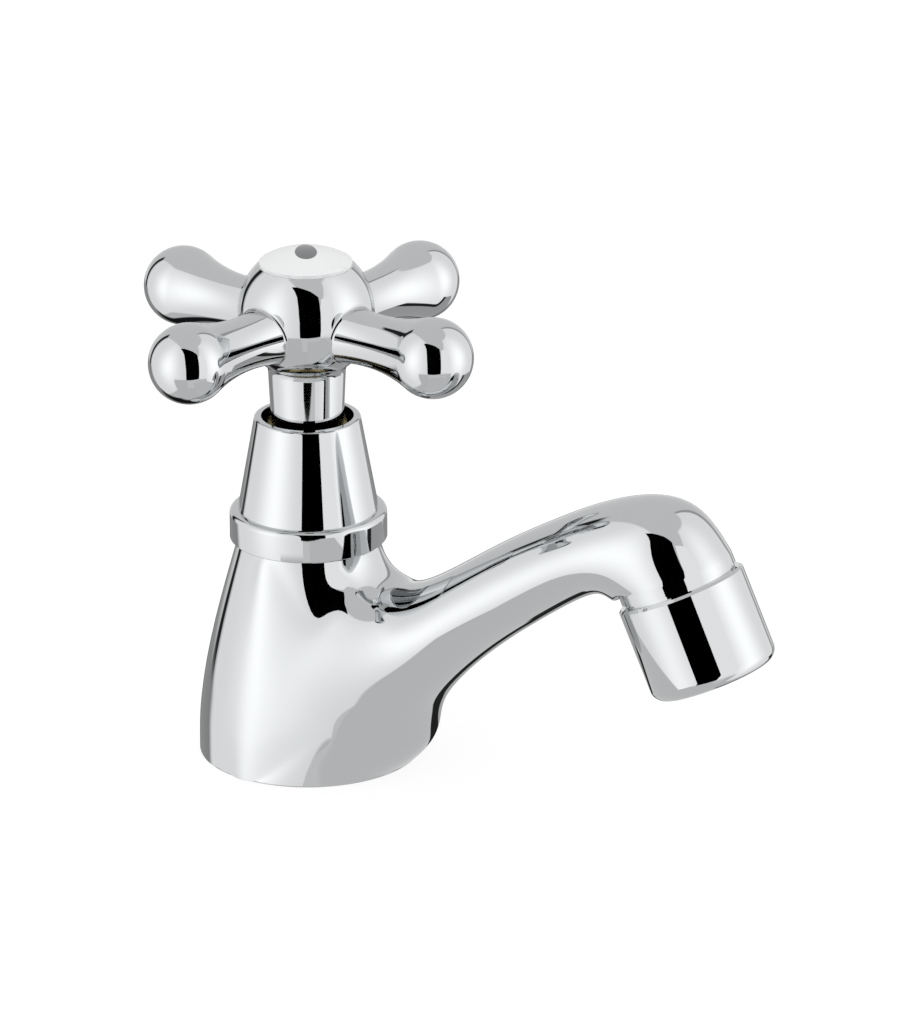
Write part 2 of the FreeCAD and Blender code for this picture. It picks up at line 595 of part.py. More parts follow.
def handle_hub():
    """Ball of the handle with its flat top, and the skirt that dips into the shroud."""
    ball = (0, HUB_HEIGHT)
    out = SKIRT_RADIUS + HUB_COVE
    between = HUB_RADIUS + HUB_COVE
    drop = math.sqrt(between ** 2 - out ** 2)
    cove = (out, HUB_HEIGHT - drop)
    touch = (HUB_RADIUS * out / between, HUB_HEIGHT - HUB_RADIUS * drop / between)
    cove_middle = on_circle(cove, HUB_COVE, (180 + math.degrees(math.atan2(drop, -out))) / 2)
    return turned_edges([
        line((SKIRT_RADIUS, cove[1]), (SKIRT_RADIUS, SKIRT_LOW), (0, SKIRT_LOW), (0, INDEX_HEIGHT),
             (INDEX_RADIUS, INDEX_HEIGHT)),
        arc((INDEX_RADIUS, INDEX_HEIGHT), on_circle(ball, HUB_RADIUS, 0), touch),
        arc(touch, cove_middle, (SKIRT_RADIUS, cove[1]))])


def handle_cross():
    """Cross handle in one casting: hub, skirt and arms, bored for the spindle and button."""
    solid = handle_hub()
    for i in range(ARM_COUNT):
        solid = solid.fuse(handle_arm(ARM_FIRST_ANGLE + i * 360.0 / ARM_COUNT))
    spigot_low = INDEX_HEIGHT - INDEX_SPIGOT_DEPTH
    solid = solid.cut(rod(SKIRT_BORE, SKIRT_LOW, WEB_LOW))
    solid = solid.cut(rod(SCREW_RADIUS + WASHER_SLACK, WEB_LOW, WEB_HIGH))
    solid = solid.cut(rod(SKIRT_BORE, WEB_HIGH, spigot_low))
    return solid.cut(rod(INDEX_SPIGOT_RADIUS + FIT_GAP, spigot_low, INDEX_HEIGHT))


def handle_insert():
    """Bush inside the hub with teeth that take the spindle's."""
    solid = rod(SKIRT_BORE - FIT_GAP, INSERT_LOW, WEB_LOW)
    return solid.cut(splined(SPINDLE_STEM_RADIUS + FIT_GAP, INSERT_LOW, WEB_LOW))


def handle_screw():
    """Screw that holds the handle on the spindle, with a cross recess."""
    top = WEB_HIGH + SCREW_HEAD_HEIGHT
    crown = SCREW_HEAD_RADIUS - SCREW_HEAD_CHAMFER
    solid = turned([(0, WEB_HIGH - SCREW_LENGTH), (SCREW_RADIUS, WEB_HIGH - SCREW_LENGTH),
                    (SCREW_RADIUS, WEB_HIGH), (SCREW_HEAD_RADIUS, WEB_HIGH),
                    (SCREW_HEAD_RADIUS, top - SCREW_HEAD_CHAMFER), (crown, top), (0, top)])
    low = top - SCREW_SLOT_DEPTH
    for across, along in ((SCREW_SLOT_SPAN, SCREW_SLOT_WIDTH), (SCREW_SLOT_WIDTH, SCREW_SLOT_SPAN)):
        slot = Part.makeBox(across, along, SCREW_HEAD_HEIGHT, Vec(-across / 2, -along / 2, low))
        solid = solid.cut(slot)
    return solid


def index_button():
    """Domed button pushed into the hub's top."""
    dome = INDEX_DOME - INDEX_RIM
    rim_high = INDEX_HEIGHT + INDEX_RIM
    sphere = (INDEX_RADIUS ** 2 + dome ** 2) / (2 * dome)
    centre = (0, rim_high + dome - sphere)
    edge = math.degrees(math.asin((rim_high - centre[1]) / sphere))
    spigot_low = INDEX_HEIGHT - INDEX_SPIGOT_DEPTH
    inner = INDEX_SPIGOT_RADIUS - INDEX_WALL
    return turned_edges([
        line((0, rim_high + dome), (0, INDEX_HEIGHT), (inner, INDEX_HEIGHT), (inner, spigot_low),
             (INDEX_SPIGOT_RADIUS, spigot_low), (INDEX_SPIGOT_RADIUS, INDEX_HEIGHT),
             (INDEX_RADIUS, INDEX_HEIGHT), (INDEX_RADIUS, rim_high)),
        arc((INDEX_RADIUS, rim_high), on_circle(centre, sphere, (edge + 90) / 2), (0, rim_high + dome))])


def aerator_sleeve():
    """Sleeve screwed on the nozzle, with a rounded lower edge and an inner lip."""
    low = SLEEVE_LENGTH - SLEEVE_ROUND
    centre = (SLEEVE_RADIUS - SLEEVE_ROUND, low)
    solid = turned_edges([
        line((SLEEVE_RADIUS - SLEEVE_ROUND, SLEEVE_LENGTH), (SLEEVE_LIP_RADIUS, SLEEVE_LENGTH),
             (SLEEVE_LIP_RADIUS, SLEEVE_FLOOR), (SLEEVE_BORE, SLEEVE_FLOOR), (SLEEVE_BORE, 0),
             (SLEEVE_RADIUS - SLEEVE_TOP_CHAMFER, 0), (SLEEVE_RADIUS, SLEEVE_TOP_CHAMFER),
             (SLEEVE_RADIUS, low)),
        arc((SLEEVE_RADIUS, low), on_circle(centre, SLEEVE_ROUND, 45),
            (SLEEVE_RADIUS - SLEEVE_ROUND, SLEEVE_LENGTH))])
    return at_sleeve(solid)


def aerator_washer():
    """Rubber washer between the nozzle's end and the aerator."""
    return at_sleeve(ring(SLEEVE_BORE - FIT_GAP, NOZZLE_BORE, AERATOR_WASHER_LOW, CAGE_LOW))


def aerator_cage():
    """Plastic cage that holds the screens and the grid."""
    flange = ring(SLEEVE_BORE - FIT_GAP, CAGE_BORE, CAGE_LOW, CAGE_LOW + CAGE_FLANGE_THICKNESS)
    wall = ring(CAGE_RADIUS, CAGE_BORE, CAGE_LOW, SLEEVE_FLOOR)
    return at_sleeve(flange.fuse(wall))


def aerator_screens():
    """Fine steel screens across the cage, one above the other."""
    screens = []
    for i in range(SCREEN_COUNT):
        low = CAGE_LOW + CAGE_FLANGE_THICKNESS + i * SCREEN_SPACING
        screens.append(at_sleeve(rod(CAGE_BORE - FIT_GAP, low, low + SCREEN_THICKNESS)))
    return Part.makeCompound(screens)


def outlet_grid():
    """Plastic disc at the outlet with rings of straight holes."""
    low = SLEEVE_FLOOR - GRID_THICKNESS
    solid = rod(CAGE_BORE - FIT_GAP, low, SLEEVE_FLOOR)
    solid = solid.cut(rod(GRID_HOLE_RADIUS, low, SLEEVE_FLOOR))
    for layer in range(1, GRID_RINGS + 1):
        for i in range(6 * layer):
            turn = math.radians(60.0 * i / layer)
            place = Vec(layer * GRID_PITCH * math.cos(turn), layer * GRID_PITCH * math.sin(turn), low)
            solid = solid.cut(Part.makeCylinder(GRID_HOLE_RADIUS, GRID_THICKNESS, place))
    return at_sleeve(solid)


PIECES = [
    body_casting, inlet_tail, tail_seal, base_gasket, deck_washer, plate_washer, backnut,
    bonnet_seal, headwork_bonnet, packing_washer, packing_rings, packing_follower, gland_nut,
    spindle, jumper_valve, valve_washer, jumper_nut, shroud, handle_cross, handle_insert,
    handle_screw, index_button, aerator_sleeve, aerator_washer, aerator_cage, aerator_screens,
    outlet_grid,
]


def main():
    """Write one STEP file for each piece."""
    os.makedirs("parts", exist_ok=True)
    for piece in PIECES:
        shape = piece()
        shape.exportStep(os.path.join("parts", piece.__name__ + ".step"))
        print(piece.__name__, "solids", len(shape.Solids), "valid", shape.isValid(),
              "volume %.1f" % shape.Volume)


main()
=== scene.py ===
"""The looks of a basin pillar tap with a cross handle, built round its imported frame.

Sizes are written in millimetres and turned into metres by mm(). The origin is the centre of the
base on the deck, +Z points up and +X points from the trunk to the outlet.
"""
import json
import math
import bmesh
import bpy
import numpy as np
from mathutils import Euler, Matrix, Vector


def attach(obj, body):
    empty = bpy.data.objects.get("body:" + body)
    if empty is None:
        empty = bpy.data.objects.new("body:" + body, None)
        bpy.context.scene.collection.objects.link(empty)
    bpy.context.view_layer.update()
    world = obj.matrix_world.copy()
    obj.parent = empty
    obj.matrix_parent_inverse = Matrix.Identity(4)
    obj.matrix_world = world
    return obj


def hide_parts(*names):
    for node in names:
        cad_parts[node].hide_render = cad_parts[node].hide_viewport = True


# Trunk of the body
BASE_RADIUS = 21.55
BASE_EDGE = 0.3         # rounding of the foot
BASE_EDGE_STEPS = 5
BELLY_HEIGHT = 3.0
BELLY_PULL = 13.0
TRUNK_HEIGHT = 43.5
TRUNK_TOP_RADIUS = 13.6
TRUNK_TOP_SLOPE = 0.28
TRUNK_TOP_PULL = 13.2
TRUNK_RINGS = (BASE_EDGE, 1.0, 6.0, 11.0, 17.0, 23.0, 29.0, 35.5, 41.0, 43.5)
TRUNK_COLUMNS = 24
MOUTH_RADIUS = 10.25
MOUTH_SEAM = 0.5        # how far below the top the two halves of the lining meet
INLET_RADIUS = 10.55
INLET_TOP = 12.0
GASKET_RECESS_RADIUS = 19.05
GASKET_RECESS_TOP = 2.0

# Spout: the opening it leaves the trunk by, and the blend between the two
ROOT_LOW = 1.0
ROOT_HIGH = 41.0
ROOT_COLUMNS = 10       # of the trunk's columns, opened for the spout
ROOT_SPREAD = 70.0      # half the opening's angle, where it is widest
ROOT_FULLNESS = 0.75    # below 1 the opening's outline is fuller than an ellipse
ROOT_FLARE = 0.8        # how far the base already swells where the opening is lowest
BLEND_PULL = 0.12       # share of the way by which the blend bends in, on top of the root
BELLY_PUSH = 0.11       # the same share for the swelling under the spout
BELLY_DROP = 0.12       # how much nearer the base that swelling lies than halfway
SLOPE_STEP = 0.5        # half the height over which the trunk's slope is taken

# Oval sections along the spout (x, z, climb, half height, half width), and its nozzle
SPOUT_SECTIONS = [
    (24.9, 26.2, 19.5, 12.0, 13.3),
    (34.0, 33.7, 38.0, 8.9, 11.5),
    (46.0, 42.5, 32.0, 8.2, 10.7),
    (57.0, 49.6, 27.6, 7.8, 10.6),
    (64.6, 53.2, 12.0, 8.4, 10.9),
    (70.9, 54.6, -14.0, 10.6, 11.1),
    (75.9, 53.9, -36.0, 11.9, 11.3),
]
NOZZLE_X = 80.5
NOZZLE_Z = 49.1
NOZZLE_LEAN = 24.9
NOZZLE_RADIUS = 11.4
NOZZLE_COLLAR = 2.2     # short straight collar above the shoulder, with a crease
NOZZLE_THREAD_RADIUS = 10.9
NOZZLE_THREAD_LENGTH = 7.0
NOZZLE_BORE = 8.4
NOZZLE_BORE_TOP = 2.0   # how far above the shoulder the bore is closed
OPENINGS_PART = 50.0    # x between the trunk's openings and the nozzle's

# Sleeve on the nozzle
SLEEVE_GAP = 0.75
SLEEVE_RADIUS = 12.4
SLEEVE_LENGTH = 18.8
SLEEVE_TOP_CHAMFER = 0.5
SLEEVE_ROUND = 2.4
SLEEVE_LIP_RADIUS = 8.8
SLEEVE_LIP_THICKNESS = 1.5
SLEEVE_BORE = 10.97

# Shroud
COLLAR_RADIUS = 15.15
COLLAR_HEIGHT = 6.2
COLLAR_ROUND = 1.1
COLLAR_CHAMFER = 0.4
CONE_LOW_RADIUS = 13.5
CONE_TOP_RADIUS = 10.25
SHROUD_TOP = 68.3
SHROUD_BORE = 12.97
SHROUD_SHOULDER = 49.05
RIM_RADIUS = 8.9
RIM_BEVEL = 0.5
SHROUD_WALL = 1.4

# Cross handle
SKIRT_RADIUS = 7.43
SKIRT_BORE = 6.4
SKIRT_LOW = 61.8
SKIRT_DRAFT = 2.7       # the casting's draft, from its foot up to the cove
SKIRT_FOOT = 66.0
HUB_RADIUS = 13.1
HUB_HEIGHT = 89.3
HUB_COVE = 2.2
ARM_COUNT = 4
ARM_HEIGHT = 87.3
ARM_FIRST_ANGLE = 78.0
ARM_REACH = 40.0
ARM_BALL_RADIUS = 7.7
ARM_NECK_RADIUS = 5.15
ARM_NECK_AT = 17.5
ARM_ROOT_AT = 5.0
ARM_FILLET = 0.9
ARM_FILLET_BACK = 1.6   # how deep the fillet's hidden side lies, in fillet radii

# Index button
INDEX_RADIUS = 9.1
INDEX_DOME = 3.1
INDEX_RIM = 0.6
INDEX_GROOVE = 0.2
INDEX_LEDGE = 0.6       # width of the ledge that the button's edge rests on
INDEX_WELL = 3.0
INDEX_PLUG = 2.5        # part of the button that sits in the well
MARK_LENGTH = 9.0       # plain water drop printed on the button
MARK_WIDTH = 4.2
MARK_TURN = 123.0

# Fineness: steps round the turned pieces and along an arc, and the angle that still shades smooth
WIDE_STEPS = 160
BUTTON_STEPS = 128
ARM_STEPS = 96
FILLET_STEPS = 6
SKIN_LEVELS = 3
SMOOTH_ANGLE = 40.0
SHROUD_SMOOTH_ANGLE = 50.0
BODY_SMOOTH_ANGLE = 35.0
HALVINGS = 40           # of a search interval
CAGE_ROUNDS = 30        # of the cage's correction
MERGE = 0.002           # points nearer than this become one
SAME_HEIGHT = 0.01      # heights nearer than this count as one

# Finishes (linear colours)
WHITE = (1, 1, 1, 1)
CHROME_TONE = (0.60, 0.612, 0.62, 1)
MARK_TONE = (0.17, 0.175, 0.18, 1)
MARK_SOFT = 0.01
GRAIN_DETAIL = 4.0
SMOOTHER = 0.8          # how far the grain changes a finish's roughness down and up
ROUGHER = 1.25

# Light tent, in degrees: sideways from straight towards the camera, its right being positive,
# and up. The two walls are bright round a lamp each (sideways, gain) and fade away from it.
WALL_TONE = 1.06
WALL_SPAN = (-128.0, 141.0, 1.5)    # from, to, softness
WALL_EDGE_SOFT = 2.0
LAMPS = ((-60.0, 0.56), (76.0, 0.60))
LAMP_HEIGHT = 4.0
LAMP_WIDTH = 27.0
LAMP_RISE = 42.0
LEFT_TOP_ARCH = (-65.0, 1.88)       # middle and rise of a wall's straight edge
LEFT_LOW_ARCH = (-84.0, 1.9)
RIGHT_LOW_ARCH = (84.0, 1.7)
RIGHT_TOP_SLOPE = (1.3, -9.0)       # climb per degree, and height straight ahead
RIGHT_TOP_LIMIT = 61.0
MIDDLE_SOFT = 1.0
AHEAD_SPAN = (-46.0, 56.0, 3.0)     # where the walls end lower, towards the camera
AHEAD_LOW = -28.0
TABLE_TONE = 0.70
CEILING_TONE = 0.77
CEILING_BLEND = 60.0

# Behind the tap, painted in this order: between or beyond a span sideways and its softness,
# a span of height and its softness, and the tone
BACKDROP = (
    ("beyond", (-146.0, 150.0, 4.0), (-12.0, -3.0, 2.0), 0.85),        # white edge of the table
    ("between", (-142.0, -132.0, 1.5), (-40.0, 37.0, 2.0), 0.02),      # dark gap on the left
    ("between", (142.0, 148.0, 2.0), (-30.0, 60.0, 4.0), 0.42),        # fainter gap on the right
    ("beyond", (-128.0, 142.0, 8.0), (-50.0, -14.0, 2.0), 0.33),       # half dark under the edge
    ("beyond", (-128.0, 142.0, 8.0), (-75.0, -44.0, 5.0), 0.01),       # dark floor
    ("beyond", (-168.0, 168.0, 3.0), (-32.0, -12.0, 2.0), 0.08))       # dark straight behind

# Flat panels of the tent, drawn across the view at a distance before the tap (x, z from its
# base), each with its strength. The opening is black.
PANEL_DISTANCE = 300.0
OPENING_OUTLINE = [(-58.0, -63.0), (130.0, -63.0), (130.0, 89.0), (142.0, 300.0), (146.0, 364.0),
                   (64.0, 454.0), (-64.0, 545.0), (-140.0, 600.0), (-250.0, 640.0), (-150.0, 463.0),
                   (-103.0, 355.0), (-75.0, 227.0), (-58.0, 89.0), (-58.0, -63.0)]
FRONT_OUTLINE = [(-45.0, -63.0), (-45.0, -300.0), (250.0, -300.0), (250.0, -110.0), (130.0, -110.0),
                 (130.0, -63.0), (-45.0, -63.0)]
SIDE_OUTLINE = [(130.0, -60.0), (330.0, -60.0), (330.0, 400.0), (170.0, 330.0), (140.0, 200.0),
                (130.0, 89.0), (130.0, -60.0)]
TENT_PANELS = (("tent_opening", OPENING_OUTLINE, 0.0), ("tent_table_front", FRONT_OUTLINE, 0.80),
               ("tent_side", SIDE_OUTLINE, 1.2))

# Floor: what the camera sees of it, and what the chrome reflects. That is a painted shadow under
# the tap, glowing grey in patches (left, right, far and near edge as seen from the camera, and tone),
# with a dark band of painted shadow across it that widens to the right, and the open tent beyond.
FLOOR_WIDTH = 6000.0
FLOOR_MATT = (0.62, 0.625, 0.63, 1)
FLOOR_PALE = (0.9, 0.9, 0.9, 1)
FLOOR_GLOW = 1.08
FLOOR_GLOW_SHARE = 0.8
# Grey of the painted shadow under the tap, which glows to the chrome instead of being lit
PAINTED_SHADOW_TONE = 0.72
# Patches of painted shadow under and beside the tap, seen only by the chrome
PAINTED_SHADOW_PATCHES = ((2.0, 85.0, -20.0, 140.0, PAINTED_SHADOW_TONE), (20.0, 150.0, -90.0, 0.0, 0.45),
                 (50.0, 74.0, -12.0, 9.0, 0.03))
PAINTED_SHADOW_SOFT = 1.0
# Dark band of painted shadow behind the spout, as the chrome sees the floor
STRIP_START = 24.0
STRIP_FROM = 30.0
STRIP_NEAR = (4.0, 0.082)           # near edge at STRIP_FROM, and how fast it falls back
STRIP_FAR = (-7.0, 0.153)
STRIP_SOFT = 0.5
PAINTED_SHADOW_STRIP_TONE = 0.02

# Camera, from the photograph's perspective
CAMERA_PLACE = (633.17, -1053.77, 511.57)
CAMERA_TURN = (69.3244, 0.1290, 29.5926)
CAMERA_LENS = 238.66
CAMERA_FILM = 36.0
CAMERA_NEAR = 10.0
CAMERA_FAR = 20000.0
CAMERA_AZIMUTH = 31.0   # rounded turn round Z, which the tent and the floor's painted shadow follow


def mm(length):
    """Metres from millimetres, for a number or a vector."""
    return length * 0.001


def edit(piece, what="VERT"):
    """Put one piece in edit mode, with nothing selected."""
    bpy.ops.object.select_all(action="DESELECT")
    bpy.context.view_layer.objects.active = piece
    piece.select_set(True)
    bpy.ops.object.mode_set(mode="EDIT")
    bpy.ops.mesh.select_mode(type=what)
    bpy.ops.mesh.select_all(action="DESELECT")


def leave_edit():
    """Back to object mode."""
    bpy.ops.object.mode_set(mode="OBJECT")


def draw_outline(name, start, path):
    """Draw an outline in the XZ plane from a start point, by straight runs and arcs."""
    bpy.ops.object.select_all(action="DESELECT")
    bpy.ops.mesh.primitive_plane_add(size=mm(1), location=(0, 0, 0))    # shrunk to one point below
    piece = bpy.context.object
    piece.name = name
    bpy.ops.object.mode_set(mode="EDIT")
    bpy.ops.mesh.select_mode(type="VERT")
    bpy.ops.mesh.select_all(action="SELECT")
    bpy.ops.mesh.merge(type="CENTER")
    bpy.ops.transform.translate(value=(mm(start[0]), 0, mm(start[1])))
    x, z = start
    for step in path:
        if step[0] == "to":
            move = (mm(step[1] - x), 0, mm(step[2] - z))
            bpy.ops.mesh.extrude_region_move(TRANSFORM_OT_translate={"value": move})
            x, z = step[1], step[2]
        else:
            centre_x, centre_z, turn, steps = step[1:]
            bpy.ops.mesh.spin(steps=steps, angle=math.radians(turn), axis=(0, 1, 0),
                              center=(mm(centre_x), 0, mm(centre_z)))
            cosine, sine = math.cos(math.radians(turn)), math.sin(math.radians(turn))
            away_x, away_z = x - centre_x, z - centre_z
            x = centre_x + cosine * away_x - sine * away_z
            z = centre_z + sine * away_x + cosine * away_z
    return piece


def turn_solid(piece, steps, smooth_angle=SMOOTH_ANGLE):
    """Spin the drawn outline round Z into a closed solid with clean shading."""
    bpy.ops.mesh.select_all(action="SELECT")
    bpy.ops.mesh.spin(steps=steps, angle=2 * math.pi, center=(0, 0, 0), axis=(0, 0, 1))
    bpy.ops.mesh.select_all(action="SELECT")
    bpy.ops.mesh.remove_doubles(threshold=mm(MERGE))
    bpy.ops.mesh.normals_make_consistent(inside=False)
    leave_edit()
    smooth(piece, smooth_angle)


def smooth(piece, smooth_angle):
    """Shade smooth between sharp edges, weighted by the faces' areas."""
    bpy.ops.object.select_all(action="DESELECT")
    bpy.context.view_layer.objects.active = piece
    piece.select_set(True)
    bpy.ops.object.shade_smooth_by_angle(angle=math.radians(smooth_angle))
    weigh = piece.modifiers.new("weigh", "WEIGHTED_NORMAL")
    weigh.keep_sharp = True
    bpy.ops.object.modifier_apply(modifier=weigh.name)


def settle(piece):
    """Write the piece's place and turn into its mesh."""
    bpy.ops.object.select_all(action="DESELECT")
    bpy.context.view_layer.objects.active = piece
    piece.select_set(True)
    bpy.ops.object.transform_apply(location=True, rotation=True, scale=True)


def at_nozzle(piece, along):
    """Move an upright piece to the nozzle, its +Z turned along the flow."""
    turn = math.radians(180 - NOZZLE_LEAN)
    flow = Vector((math.sin(turn), 0, math.cos(turn)))
    piece.rotation_euler = (0, turn, 0)
    piece.location = Vector((mm(NOZZLE_X), 0, mm(NOZZLE_Z))) + flow * mm(along)
    settle(piece)


def corner_arc(centre_x, centre_z, turn, steps=6):
    """Path step for an arc round a centre."""
    return ("arc", centre_x, centre_z, turn, steps)


# ---------------------------------------------------------------- body

def bezier(share, start, first_pull, second_pull, end):
    """Value of a cubic Bezier curve at a share of its way."""
    left = 1 - share
    return (left ** 3 * start + 3 * share * left ** 2 * first_pull
            + 3 * share * share * left * second_pull + share ** 3 * end)


def trunk_side(height):
    """Radius of the trunk at a height: straight at the foot, then one curve up to the top."""
    if height <= BELLY_HEIGHT:
        return BASE_RADIUS
    low, high = 0.0, 1.0
    for _ in range(HALVINGS):
        share = (low + high) / 2
        reached = bezier(share, BELLY_HEIGHT, BELLY_HEIGHT + BELLY_PULL,
                         TRUNK_HEIGHT - TRUNK_TOP_PULL, TRUNK_HEIGHT)
        if reached < height:
            low = share
        else:
            high = share
    under_top = TRUNK_TOP_RADIUS + TRUNK_TOP_SLOPE * TRUNK_TOP_PULL
    return bezier(share, BASE_RADIUS, BASE_RADIUS, under_top, TRUNK_TOP_RADIUS)


def on_trunk(angle, height):
    """Point on the trunk's skin."""
    radius = trunk_side(height)
    turn = math.radians(angle)
    return Vector((mm(radius * math.cos(turn)), mm(radius * math.sin(turn)), mm(height)))


def on_oval(section, around):
    """Point on one of the spout's oval sections, at an angle from its top."""
    x, z, climb, half_height, half_width = section
    turn = math.radians(climb)
    up = Vector((-math.sin(turn), 0, math.cos(turn))) * half_height
    side = Vector((0, half_width, 0))
    return mm(Vector((x, 0, z)) + up * math.cos(around) + side * math.sin(around))


def root_point(around):
    """Point where the blend of the spout starts on the trunk, at an angle from its top."""
    middle = (ROOT_LOW + ROOT_HIGH) / 2
    half = (ROOT_HIGH - ROOT_LOW) / 2
    across = math.copysign(abs(math.sin(around)) ** ROOT_FULLNESS, math.sin(around))
    place = on_trunk(ROOT_SPREAD * across, middle + half * math.cos(around))
    low = ((1 - math.cos(around)) / 2) ** 2
    return place + Vector((place.x, place.y, 0)).normalized() * mm(ROOT_FLARE) * low


def draw_through(piece):
    """Shift the cage so that its subdivided surface passes through the cage's present points."""
    mesh = piece.data
    count = len(mesh.vertices)
    places = np.empty(count * 3)
    mesh.vertices.foreach_get("co", places)
    goal = places.reshape(-1, 3)
    links = np.array([edge.vertices[:] for edge in mesh.edges])
    uses = np.zeros(len(links), int)
    for face in mesh.polygons:
        for key in face.loop_indices:
            uses[mesh.loops[key].edge_index] += 1
    quads = np.array([face.vertices[:] for face in mesh.polygons])
    sharp = np.zeros(len(links), bool)
    creases = mesh.attributes.get("crease_edge")
    if creases:
        sharp = np.array([crease.value > 0 for crease in creases.data])
    rim = links[(uses == 1) | sharp]
    on_rim = np.zeros(count, bool)
    on_rim[rim.ravel()] = True
    valence = np.bincount(links.ravel(), minlength=count)[:, None]
    cage = goal.copy()
    for _ in range(CAGE_ROUNDS):
        near = np.zeros_like(cage)
        np.add.at(near, links[:, 0], cage[links[:, 1]])
        np.add.at(near, links[:, 1], cage[links[:, 0]])
        far = np.zeros_like(cage)
        for i in range(4):
            np.add.at(far, quads[:, i], cage[quads[:, (i + 2) % 4]])
        # Where endless subdivision takes a point: inside the skin, and on its rims and creases.
        inner = (valence ** 2 * cage + 4 * near + far) / (valence * (valence + 5))
        along = np.zeros_like(cage)
        np.add.at(along, rim[:, 0], cage[rim[:, 1]])
        np.add.at(along, rim[:, 1], cage[rim[:, 0]])
        limit = np.where(on_rim[:, None], (4 * cage + along) / 6, inner)
        cage += goal - limit
    mesh.vertices.foreach_set("co", cage.ravel())
    mesh.update()


def selected_points(skin):
    """The selected vertices of a mesh in edit mode."""
    return [point for point in skin.verts if point.select]


def turn_of(place):
    """Angle of a point round Z, in degrees."""
    return math.degrees(math.atan2(place.y, place.x))


def trunk_cage():
    """Coarse cage of the trunk, one ring extruded above the other, left in edit mode."""
    bpy.ops.object.select_all(action="DESELECT")
    bpy.ops.mesh.primitive_circle_add(vertices=TRUNK_COLUMNS, radius=mm(BASE_RADIUS), location=(0, 0, 0))
    piece = bpy.context.object
    piece.name = "tap_casting"
    bpy.ops.object.mode_set(mode="EDIT")
    bpy.ops.mesh.select_all(action="SELECT")
    skin = bmesh.from_edit_mesh(piece.data)
    for height in TRUNK_RINGS:
        if height != TRUNK_RINGS[0]:
            bpy.ops.mesh.extrude_region_move()
        for point in selected_points(skin):
            point.co = on_trunk(turn_of(point.co), height)
    bmesh.update_edit_mesh(piece.data)
    return piece


def open_root(piece):
    """Open the trunk's cage where the spout leaves it, round the opening and select its rim."""
    column_turn = 360 / TRUNK_COLUMNS
    root_edge = ROOT_COLUMNS / 2 * column_turn
    bpy.ops.mesh.select_mode(type="FACE")
    bpy.ops.mesh.select_all(action="DESELECT")
    skin = bmesh.from_edit_mesh(piece.data)
    for face in skin.faces:
        middle = face.calc_center_median()
        face.select = abs(turn_of(middle)) < root_edge and mm(ROOT_LOW) < middle.z < mm(ROOT_HIGH)
    bpy.ops.mesh.delete(type="FACE")
    bpy.ops.mesh.select_mode(type="VERT")

    # Number the rim's points by their column and row, and keep each one's angle from the top.
    skin = bmesh.from_edit_mesh(piece.data)
    around = skin.verts.layers.float.new("around")
    low_row, high_row = TRUNK_RINGS.index(ROOT_LOW), TRUNK_RINGS.index(ROOT_HIGH)
    total = 2 * (high_row - low_row + ROOT_COLUMNS)
    rim = [edge for edge in skin.edges
           if edge.is_boundary and mm(ROOT_LOW - SAME_HEIGHT) < min(v.co.z for v in edge.verts)
           and max(v.co.z for v in edge.verts) < mm(ROOT_HIGH + SAME_HEIGHT)]
    points = {point for edge in rim for point in edge.verts}
    for point in points:
        column = round(turn_of(point.co) / column_turn)
        row = min(range(len(TRUNK_RINGS)), key=lambda i: abs(mm(TRUNK_RINGS[i]) - point.co.z))
        if row == high_row:
            step = column
        elif row == low_row:
            step = total / 2 - column
        elif column > 0:
            step = ROOT_COLUMNS / 2 + high_row - row
        else:
            step = -ROOT_COLUMNS / 2 - high_row + row
        point[around] = 2 * math.pi * step / total
    for point in points:
        point.co = root_point(point[around])
    bpy.ops.mesh.select_mode(type="EDGE")
    skin = bmesh.from_edit_mesh(piece.data)
    for edge in skin.edges:
        edge.select = edge.is_boundary and all(v in points for v in edge.verts)


def blend_point(first, second, around):
    """Point of the blend between trunk and spout, near halfway along it."""
    start = root_point(around)
    end = on_oval(first, around)
    back = (end - on_oval(second, around)).normalized()
    out = Vector((start.x, start.y, 0)).normalized()
    height = start.z * 1000
    slope = trunk_side(height + SLOPE_STEP) - trunk_side(height - SLOPE_STEP)
    normal = (out - Vector((0, 0, slope))).normalized()
    way = end - start
    along = way - normal * way.dot(normal)
    if along.length > 0:
        along.normalize()
    rise = math.cos(around)
    pull = way.length * (BLEND_PULL if rise > 0 else BELLY_PUSH) * rise * abs(rise)
    share = 0.5 - BELLY_DROP * (1 - rise) / 2
    return start.lerp(end, share) + (along + back) * pull


def extrude_rim(piece, place_of, *given):
    """Extrude the selected rim, each point to where place_of takes its angle."""
    bpy.ops.mesh.extrude_region_move()
    skin = bmesh.from_edit_mesh(piece.data)
    around = skin.verts.layers.float["around"]
    for point in selected_points(skin):
        point.co = place_of(*given, point[around])


def draw_spout(piece):
    """Draw the spout out of the trunk's opening, one section after another."""
    lean = math.radians(NOZZLE_LEAN)
    climb = NOZZLE_LEAN - 90
    collar_x = NOZZLE_X - NOZZLE_COLLAR * math.sin(lean)
    collar_z = NOZZLE_Z + NOZZLE_COLLAR * math.cos(lean)
    collar = (collar_x, collar_z, climb, NOZZLE_RADIUS, NOZZLE_RADIUS)
    shoulder = (NOZZLE_X, NOZZLE_Z, climb, NOZZLE_RADIUS, NOZZLE_RADIUS)
    extrude_rim(piece, blend_point, SPOUT_SECTIONS[0], SPOUT_SECTIONS[1])
    for section in SPOUT_SECTIONS + [collar, shoulder]:
        extrude_rim(piece, on_oval, section)
        if section == collar:
            bpy.ops.transform.edge_crease(value=1.0)


